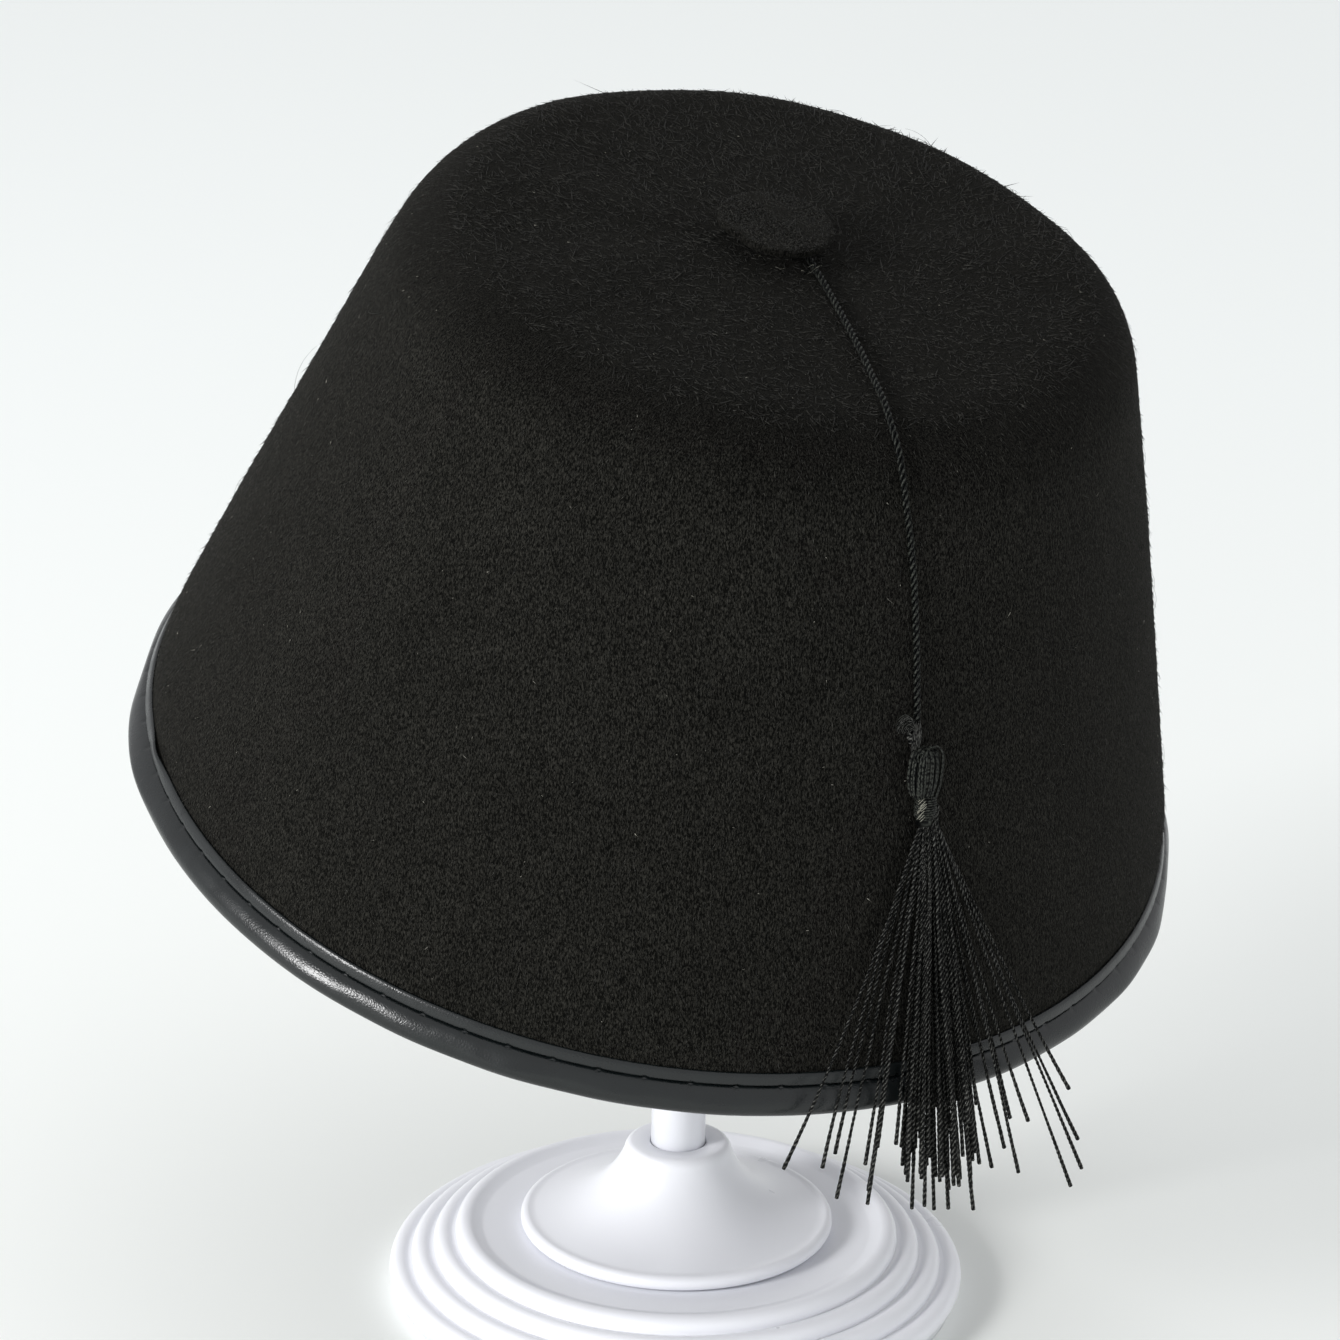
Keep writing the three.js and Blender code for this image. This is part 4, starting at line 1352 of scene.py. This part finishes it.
def hair_surface(hat, nap):
    """Longer hairs, each a parabola that leaves the felt at its root and bends back towards it."""
    random = np.random.default_rng(61)
    count = nap.hair_count
    turn, along = spread_over_felt(hat, random, count, 5 * MM, felt_length(hat) - HAIR_END)
    here, across, down, out = felt_axes(hat, turn, along, felt_rise(hat, turn, along))
    heading = random.uniform(0, FULL_TURN, count)[:, None]
    way = np.cos(heading) * down + np.sin(heading) * across
    sideways = np.cross(out, way)
    size = nap.hair_length * random.gamma(4, 1 / 4, (count, 1, 1))
    height = random.uniform(0.03, 0.14, (count, 1, 1))
    curl = random.normal(0, 0.35, (count, 1, 1))
    t = np.linspace(0, 1, 9)[None, :, None]
    path = (here[:, None] + size * (t * way[:, None] + curl * t**2 * sideways[:, None])
            + size * (height * 4 * t * (1 - t) * out[:, None]) - 0.03 * MM * out[:, None])
    radius = 0.035 * MM * (1 - 0.5 * t[..., 0])
    return skin(tube(path, radius, out[:, None], 3))


def fluff_surface(hat):
    """One loop of thread fluff that lies on the crown behind the button: part of an ellipse, its
    height a low wave of three times the angle."""
    middle_x, middle_y, half_width, half_depth = -3.2 * MM, 11.6 * MM, 4.6 * MM, 1.9 * MM
    low, wave, thread = 0.2 * MM, 0.25 * MM, 0.055 * MM
    angle = np.linspace(0.25, 1.9, 40) * np.pi
    flat = np.stack([middle_x + half_width * np.cos(angle), middle_y + half_depth * np.sin(angle),
                     low + wave * (1 + np.sin(3 * angle))], axis=-1)
    loop = to_row(hat, flat + np.array([0, 0, hat.height]))[None]
    return skin(tube(loop, thread, [0.0, 0.1, 1.0], FINE_SIDES))


class FEZ_OT_binding(bpy.types.Operator):
    """Folds the leather strip round the rim and sews it"""

    bl_idname = "fez.binding"
    bl_label = "Binding"

    def execute(self, context):
        hat = context.scene.fez_hat
        binding = context.scene.fez_binding
        colours = context.scene.fez_colours
        leather = shared("bonded_leather_calendered", leather_material, hat, colours)
        thread = shared("polyester_thread_waxed", sewing_material, colours)
        count = stitch_count(hat, binding)
        turn = (np.arange(count)[:, None] + HOLE_COLUMNS).ravel() * FULL_TURN / count
        section = smooth_through(BINDING_SECTION, 3, closed=True) * MM
        height, out = section[::-1, 0:1], section[::-1, 1:2]
        swell = binding_swell(binding, turn, height, out)
        out = out + swell - hole_dents(hat, binding, turn, height, out)
        points = to_row(hat, by_rim(hat, turn, height, out))
        add_piece("rim_binding_folded", skin(points[None], joined=True), leather,
                  ["rim_binding"])
        add_piece("rim_stitches", stitch_surface(hat, binding), thread)
        return {"FINISHED"}


def by_rim(hat, turn, height, out):
    """Point at a height above the rim and a distance out from the felt, in the upright frame."""
    return about_axis(hat.rim_radius - math.tan(side_angle(hat)) * height + out, turn, height)


def binding_swell(binding, turn, height, out):
    """How far the strip strays from its section: slow waves of the padding in the roll, its places
    that stand out or are pressed in, and the flap's edge off the felt where it is loose."""
    random = np.random.default_rng(71)
    roll_middle, roll_half, flap_foot, flap_height = 2.4 * MM, 2.6 * MM, 5.6 * MM, 2 * MM
    roll = np.clip(1 - np.abs(height - roll_middle) / roll_half, 0, 1) * (out > 0.5 * MM)
    waves = sum(random.normal(0, 0.07) * MM * np.sin(k * turn + random.uniform(0, FULL_TURN))
                for k in range(3, 40))
    flap = np.clip((height - flap_foot) / flap_height, 0, 1) * (out > 0.1 * MM)
    loose = binding.lift * near_turn(turn, binding.lift_turn, 0.05)
    return roll * (0.35 * waves + strays(ROLL_PLACES, turn)) + flap * loose


def stitch_count(hat, binding):
    """Whole number of stitches that fit round the groove."""
    around = FULL_TURN * (hat.rim_radius - math.tan(side_angle(hat)) * GROOVE_HEIGHT * MM)
    return round(around / binding.stitch_pitch)


def hole_dents(hat, binding, turn, height, out):
    """Dents at the stitching's holes: bells round each hole along the groove and across it."""
    pitch_turn = FULL_TURN / stitch_count(hat, binding)
    away = ((turn / pitch_turn + 0.5) % 1 - 0.5) * pitch_turn * hat.rim_radius
    across = height - GROOVE_HEIGHT * MM
    bell = np.exp(-(away / binding.hole_width)**2 - (across / binding.hole_width)**2)
    return binding.hole_depth * bell * (out > 0.6 * MM)


def stitch_surface(hat, binding):
    """Stitches that lie in the groove, each a flat arch whose ends dip into the strip, with the
    holes a pitch apart."""
    count = stitch_count(hat, binding)
    gone = np.linspace(-1, 1, 15)
    pitch_turn = FULL_TURN / count
    turn = (np.arange(count)[:, None] + 0.5 + gone * 0.475) * pitch_turn
    proud, dip, slant = 0.14, 0.7, 0.06
    out = (GROOVE_OUT + proud - dip * np.abs(gone) ** 9) * MM
    height = GROOVE_HEIGHT * MM + slant * MM * gone
    path = to_row(hat, by_rim(hat, turn, height, out))
    outer = to_row(hat, by_rim(hat, turn, height, out + MM))
    ply = binding.stitch_thread * 0.29
    wound, away = plies(path, outer - path, 2, binding.stitch_thread / 2 - ply, 1.7 * MM)
    return skin(tube(wound, ply, away, FINE_SIDES))


class FEZ_OT_button(bpy.types.Operator):
    """Cuts the felt button and sews it on its shank"""

    bl_idname = "fez.button"
    bl_label = "Button"

    def execute(self, context):
        hat = context.scene.fez_hat
        trim = context.scene.fez_trim
        colours = context.scene.fez_colours
        # The button's felt takes the crown's painted shade, at 0.74
        felt = shared("wool_felt_cut", felt_material, hat, colours, "wool_felt_cut", 0.74)
        fibre = shared("wool_fibre_dyed", nap_material, hat, colours)
        thread = shared("rayon_thread_twisted", thread_material, colours)
        disc = button_grid(trim)
        add_piece("top_button_felt", on_crown(hat, trim, skin(disc[None])), felt,
                  ["top_button"])
        add_piece("top_button_nap", on_crown(hat, trim, button_nap(trim)), fibre)
        # Pale painted highlights for the loose thread ends under the button
        frayed = shared("rayon_thread_frayed_painted_glints", frayed_painted_glints_material, colours)
        add_piece("top_button_shank", on_crown(hat, trim, shank_surface(trim)), thread,
                  ["top_button"])
        add_piece("top_button_thread_ends", on_crown(hat, trim, shank_ends()), frayed)
        return {"FINISHED"}


def on_crown(hat, trim, surface):
    """Moves a surface drawn about the button's axis, from the crown's top up, to its place."""
    points, quads, caps, uv = surface
    x, y = trim.button_centre
    return to_row(hat, points + np.array([x, y, hat.height])), quads, caps, uv


def button_outline(trim, turn):
    """Radius of the cut disc: a circle with slow waves, and a snip off its front left."""
    waves = (0.012 * np.sin(3 * turn + 0.6) + 0.009 * np.sin(5 * turn + 2.2)
             + 0.006 * np.sin(9 * turn))
    return trim.button_radius * (0.99 + waves - 0.05 * near_turn(turn, -0.75, 0.35))


def button_grid(trim):
    """Rows of the disc from the middle of its underside, round the two corners of its cut edge,
    each a quarter circle, to the middle of its top, with slow waves all over."""
    low_bend = np.linspace(-np.pi / 2, 0, 6)
    high_bend = np.linspace(0, np.pi / 2, 6)
    corner = BUTTON_CORNER
    turn = np.arange(BUTTON_SIDES) * FULL_TURN / BUTTON_SIDES
    flat = button_outline(trim, turn) - corner
    below = np.linspace(0.05, 0.98, 9)[:, None] * flat
    bends = np.concatenate([low_bend, high_bend])
    rounded = flat + corner * np.cos(bends)[:, None]
    above = np.linspace(0.98, 0.05, 14)[:, None] * flat
    radius = np.concatenate([below, rounded, above])
    top = trim.button_thickness
    height = np.concatenate([np.zeros(9), corner + corner * np.sin(low_bend),
                             top - corner + corner * np.sin(high_bend), np.full(14, top)])[:, None]
    x = radius * np.sin(turn)
    y = -radius * np.cos(turn)
    rough = 0.09 * MM * (np.sin(x / (1.3 * MM) + 1) * np.sin(y / (1.7 * MM))
                         + np.sin(x / (3.1 * MM) + y / (2.3 * MM)))
    sag = -0.15 * MM * (radius / trim.button_radius) ** 4
    return np.stack([x, y, trim.button_lift + height + rough + sag], axis=-1)


def button_nap(trim):
    """Fibres over the top and the edge of the button, at random headings."""
    random = np.random.default_rng(81)
    count = 2800
    turn = random.uniform(0, FULL_TURN, count)
    inner = np.sqrt(random.uniform(0, 1, count))
    radius = button_outline(trim, turn) * inner
    corner = BUTTON_CORNER
    over = np.clip((radius - button_outline(trim, turn) + corner) / corner, 0, 1)
    height = trim.button_lift + trim.button_thickness - corner * (1 - np.sqrt(1 - over**2))
    height -= 0.15 * MM * inner**4
    outward = about_axis(1.0, turn, 0.0)
    up = np.array([0.0, 0.0, 1.0])
    out = unit(over[:, None] * outward + (1 - over)[:, None] * up)
    heading = random.uniform(0, FULL_TURN, count)
    flat = np.stack([np.cos(heading), np.sin(heading), np.zeros(count)], axis=-1)
    way = unit(flat - (flat * out).sum(axis=-1, keepdims=True) * out)
    here = about_axis(radius, turn, height)
    size = random.uniform(0.35, 1.0, count) * MM * (1 - 0.5 * over)
    rise = np.abs(random.normal(0, 0.2, count)) + 0.05
    return spikes(here, way, out, size, rise, random.uniform(0.05, 0.12, count) * MM)


def shank_surface(trim):
    """Sewing threads from the crown to the button, set in a ring, drawn in by a sine and leaning,
    about a closed core."""
    random = np.random.default_rng(91)
    count = 22
    up = np.linspace(0, 1, 9)
    angle = np.arange(count)[:, None] * FULL_TURN / count
    lean = random.uniform(-0.5, 0.5, (count, 1))
    inset, waist, tucked = 0.35 * MM, 0.5 * MM, 0.2 * MM
    radius = trim.shank_radius - inset - waist * np.sin(np.pi * up)
    low = 0.35 * MM
    high = trim.button_lift + tucked
    turn = angle + lean * up
    path = about_axis(radius, turn, low + (high - low) * up)
    sewn = skin(tube(path, 0.3 * MM, path * np.array([1, 1, 0]), THREAD_SIDES))
    core = lathe(np.array([[1.7 * MM, low], [1.5 * MM, high / 2], [1.7 * MM, high]]), 20)
    return together(sewn, skin(core))


def shank_ends():
    """Loose thread ends that come out from under the front of the button, each a smooth curve
    through four points."""
    ends = np.array([
        [(5.7, -8.2, 0.5), (6.0, -8.6, 1.3), (6.1, -8.8, 2.2), (6.7, -8.9, 2.9)],
        [(6.1, -8.2, 0.5), (6.8, -8.5, 1.2), (7.3, -8.6, 2.1), (8.1, -8.6, 2.9)],
        [(5.4, -8.3, 0.4), (5.6, -8.8, 0.9), (5.4, -9.0, 1.4), (5.0, -9.1, 1.6)],
        [(-1.2, -8.2, 1.4), (-1.4, -8.5, 2.0), (-1.9, -8.5, 2.5), (-2.5, -8.6, 2.8)],
        [(0.6, -8.4, 1.0), (1.0, -8.7, 1.1), (1.5, -8.8, 1.0), (2.1, -8.7, 1.2)],
    ]) * MM
    curved = np.stack([smooth_through(end, 8) for end in ends])
    return skin(tube(curved, 0.1 * MM, [0.1, 0.2, 1.0], FINE_SIDES))


class FEZ_OT_stand(bpy.types.Operator):
    """Turns the stand's base, foot, post and domed head"""

    bl_idname = "fez.stand"
    bl_label = "Display stand"

    def execute(self, context):
        hat = context.scene.fez_hat
        stand = context.scene.fez_stand
        plastic = shared("abs_moulded_white", plastic_material, context.scene.fez_colours)
        sections = (
            ("stand_base_ridged", base_section(stand), "stand_base"),
            ("stand_foot_bell", foot_section(stand), "stand_foot"),
            ("stand_post_round", post_section(hat, stand), "stand_post"),
            ("stand_head_domed", head_section(hat, stand), "stand_head"),
        )
        for name, section, node in sections:
            add_piece(name, skin(lathe(section, STAND_SIDES)), plastic, [node])
        return {"FINISHED"}


def arc(centre, radius, start, end, steps):
    """Points on an arc from one angle to another, in degrees."""
    angle = np.radians(np.linspace(start, end, steps))
    return np.array(centre) + radius * np.stack([np.cos(angle), np.sin(angle)], axis=-1)


def rows(*parts):
    """A section from single points and stretches of points."""
    return np.concatenate([np.atleast_2d(np.asarray(part, float)) for part in parts])


def base_section(stand):
    """A flat foot, four rounded ridges that each step in and up, and the flat top."""
    foot = stand.base_radius - 0.65 * stand.ridge_radius
    parts = [(AXIS_RING, 0), (foot - 0.6 * MM, 0), (foot, 0.15 * MM)]
    for ridge in range(4):
        centre = (stand.base_radius - stand.ridge_radius - ridge * stand.ridge_pitch,
                  stand.ridge_height + ridge * stand.ridge_rise)
        parts.append(arc(centre, stand.ridge_radius, -60 if ridge == 0 else -22, 118, 16))
    top = stand.plateau
    inner = stand.base_radius - 17.9 * MM
    parts += [(inner + 0.7 * MM, top + 0.12 * MM), (inner, top), (AXIS_RING, top)]
    return rows(*parts)


def foot_section(stand):
    """A rounded lip, a bell that sweeps up as a cubic Bezier curve, the collar's rounded top as a
    quadratic one, and the socket for the post."""
    floor = stand.plateau + stand.seam
    lip = stand.foot_lip
    start = np.array([27.3 * MM, floor + 2 * lip - 0.12 * MM])
    low = np.array([19 * MM, floor + lip + 2.6 * MM])
    high = np.array([13 * MM, floor + lip + 6.6 * MM])
    end = np.array([stand.collar_radius + 0.4 * MM, stand.collar_top - 2.2 * MM])
    t = np.linspace(0, 1, 30)[:, None]
    bell = (1 - t)**3 * start + 3 * (1 - t)**2 * t * low + 3 * (1 - t) * t**2 * high + t**3 * end
    corner = np.array([stand.collar_radius, stand.collar_top])
    top = np.array([stand.collar_radius - 1.3 * MM, stand.collar_top])
    t = np.linspace(0, 1, 10)[1:, None]
    shoulder = (1 - t)**2 * end + 2 * (1 - t) * t * corner + t**2 * top
    bore = stand.post_radius + 0.12 * MM
    socket = stand.collar_top - stand.socket_depth
    return rows((AXIS_RING, floor), (stand.foot_radius - lip - 0.3 * MM, floor),
                arc((stand.foot_radius - lip, floor + lip), lip, -90, 96, 16), bell, shoulder,
                (bore + 0.3 * MM, stand.collar_top), (bore, stand.collar_top - 0.3 * MM),
                (bore, socket), (AXIS_RING, socket))


def dome_heights(hat, stand):
    """Heights of the dome's centre, of its edge and of the boss's foot. The dome bears under the
    crown: its centre stands its radius and the seam below the felt along the hat's axis."""
    axis = lean_matrix(hat)[:, 2]
    bearing = hat.height - hat.wall - stand.seam - stand.dome_radius
    centre = (bearing + float(np.dot(np.array(hat.rim_centre), axis))) / axis[2]
    edge = centre + math.sqrt(stand.dome_radius**2 - stand.head_radius**2)
    return centre, edge, edge - stand.head_edge - stand.boss_length


def post_section(hat, stand):
    """A plain round rod with eased ends, between the two sockets."""
    low = stand.collar_top - stand.socket_depth + stand.seam
    high = dome_heights(hat, stand)[2] + stand.socket_depth - stand.seam
    ease = 0.4 * MM
    radius = stand.post_radius
    return rows((AXIS_RING, low), (radius - ease, low), (radius, low + ease),
                (radius, high - ease), (radius - ease, high), (AXIS_RING, high))


def head_section(hat, stand):
    """The socket, the boss, the flat underside, its edge and the dome, a circle's arc."""
    centre, edge, foot = dome_heights(hat, stand)
    under = edge - stand.head_edge
    bore = stand.post_radius + stand.seam
    socket = foot + stand.socket_depth
    edge_angle = math.degrees(math.acos(stand.head_radius / stand.dome_radius))
    return rows((AXIS_RING, socket), (bore, socket), (bore, foot),
                (stand.boss_radius - 0.4 * MM, foot), (stand.boss_radius, foot + 0.4 * MM),
                (stand.boss_radius, under), (stand.head_radius - 1 * MM, under),
                (stand.head_radius, under + 1 * MM),
                arc((0, centre), stand.dome_radius, edge_angle, 88.5, 30))


class FEZ_PT_panel(bpy.types.Panel):
    """Lists the steps that build the hat and the sizes that they take"""

    bl_label = "Fez hat"
    bl_idname = "FEZ_PT_panel"
    bl_space_type = "VIEW_3D"
    bl_region_type = "UI"
    bl_category = "Fez"

    def draw(self, context):
        for operator in OPERATORS:
            self.layout.operator(operator.bl_idname)
        for name, group in GROUPS:
            box = self.layout.box()
            box.label(text=group.__name__)
            for key in group.__annotations__:
                box.prop(getattr(context.scene, name), key)


OPERATORS = (
    FEZ_OT_stage,
    FEZ_OT_cord,
    FEZ_OT_tassel,
    FEZ_OT_crown,
    FEZ_OT_nap,
    FEZ_OT_binding,
    FEZ_OT_button,
    FEZ_OT_stand,
)


def register():
    for name, group in GROUPS:
        bpy.utils.register_class(group)
        setattr(bpy.types.Scene, name, PointerProperty(type=group))
    for operator in OPERATORS:
        bpy.utils.register_class(operator)
    bpy.utils.register_class(FEZ_PT_panel)


def unregister():
    bpy.utils.unregister_class(FEZ_PT_panel)
    for operator in reversed(OPERATORS):
        bpy.utils.unregister_class(operator)
    for name, group in reversed(GROUPS):
        delattr(bpy.types.Scene, name)
        bpy.utils.unregister_class(group)


def main():
    """Builds the scene piece by piece."""
    register()
    bpy.ops.fez.stage()
    bpy.ops.fez.cord()
    bpy.ops.fez.tassel()
    bpy.ops.fez.crown()
    bpy.ops.fez.nap()
    bpy.ops.fez.binding()
    bpy.ops.fez.button()
    bpy.ops.fez.stand()


if __name__ == "__main__":
    main()
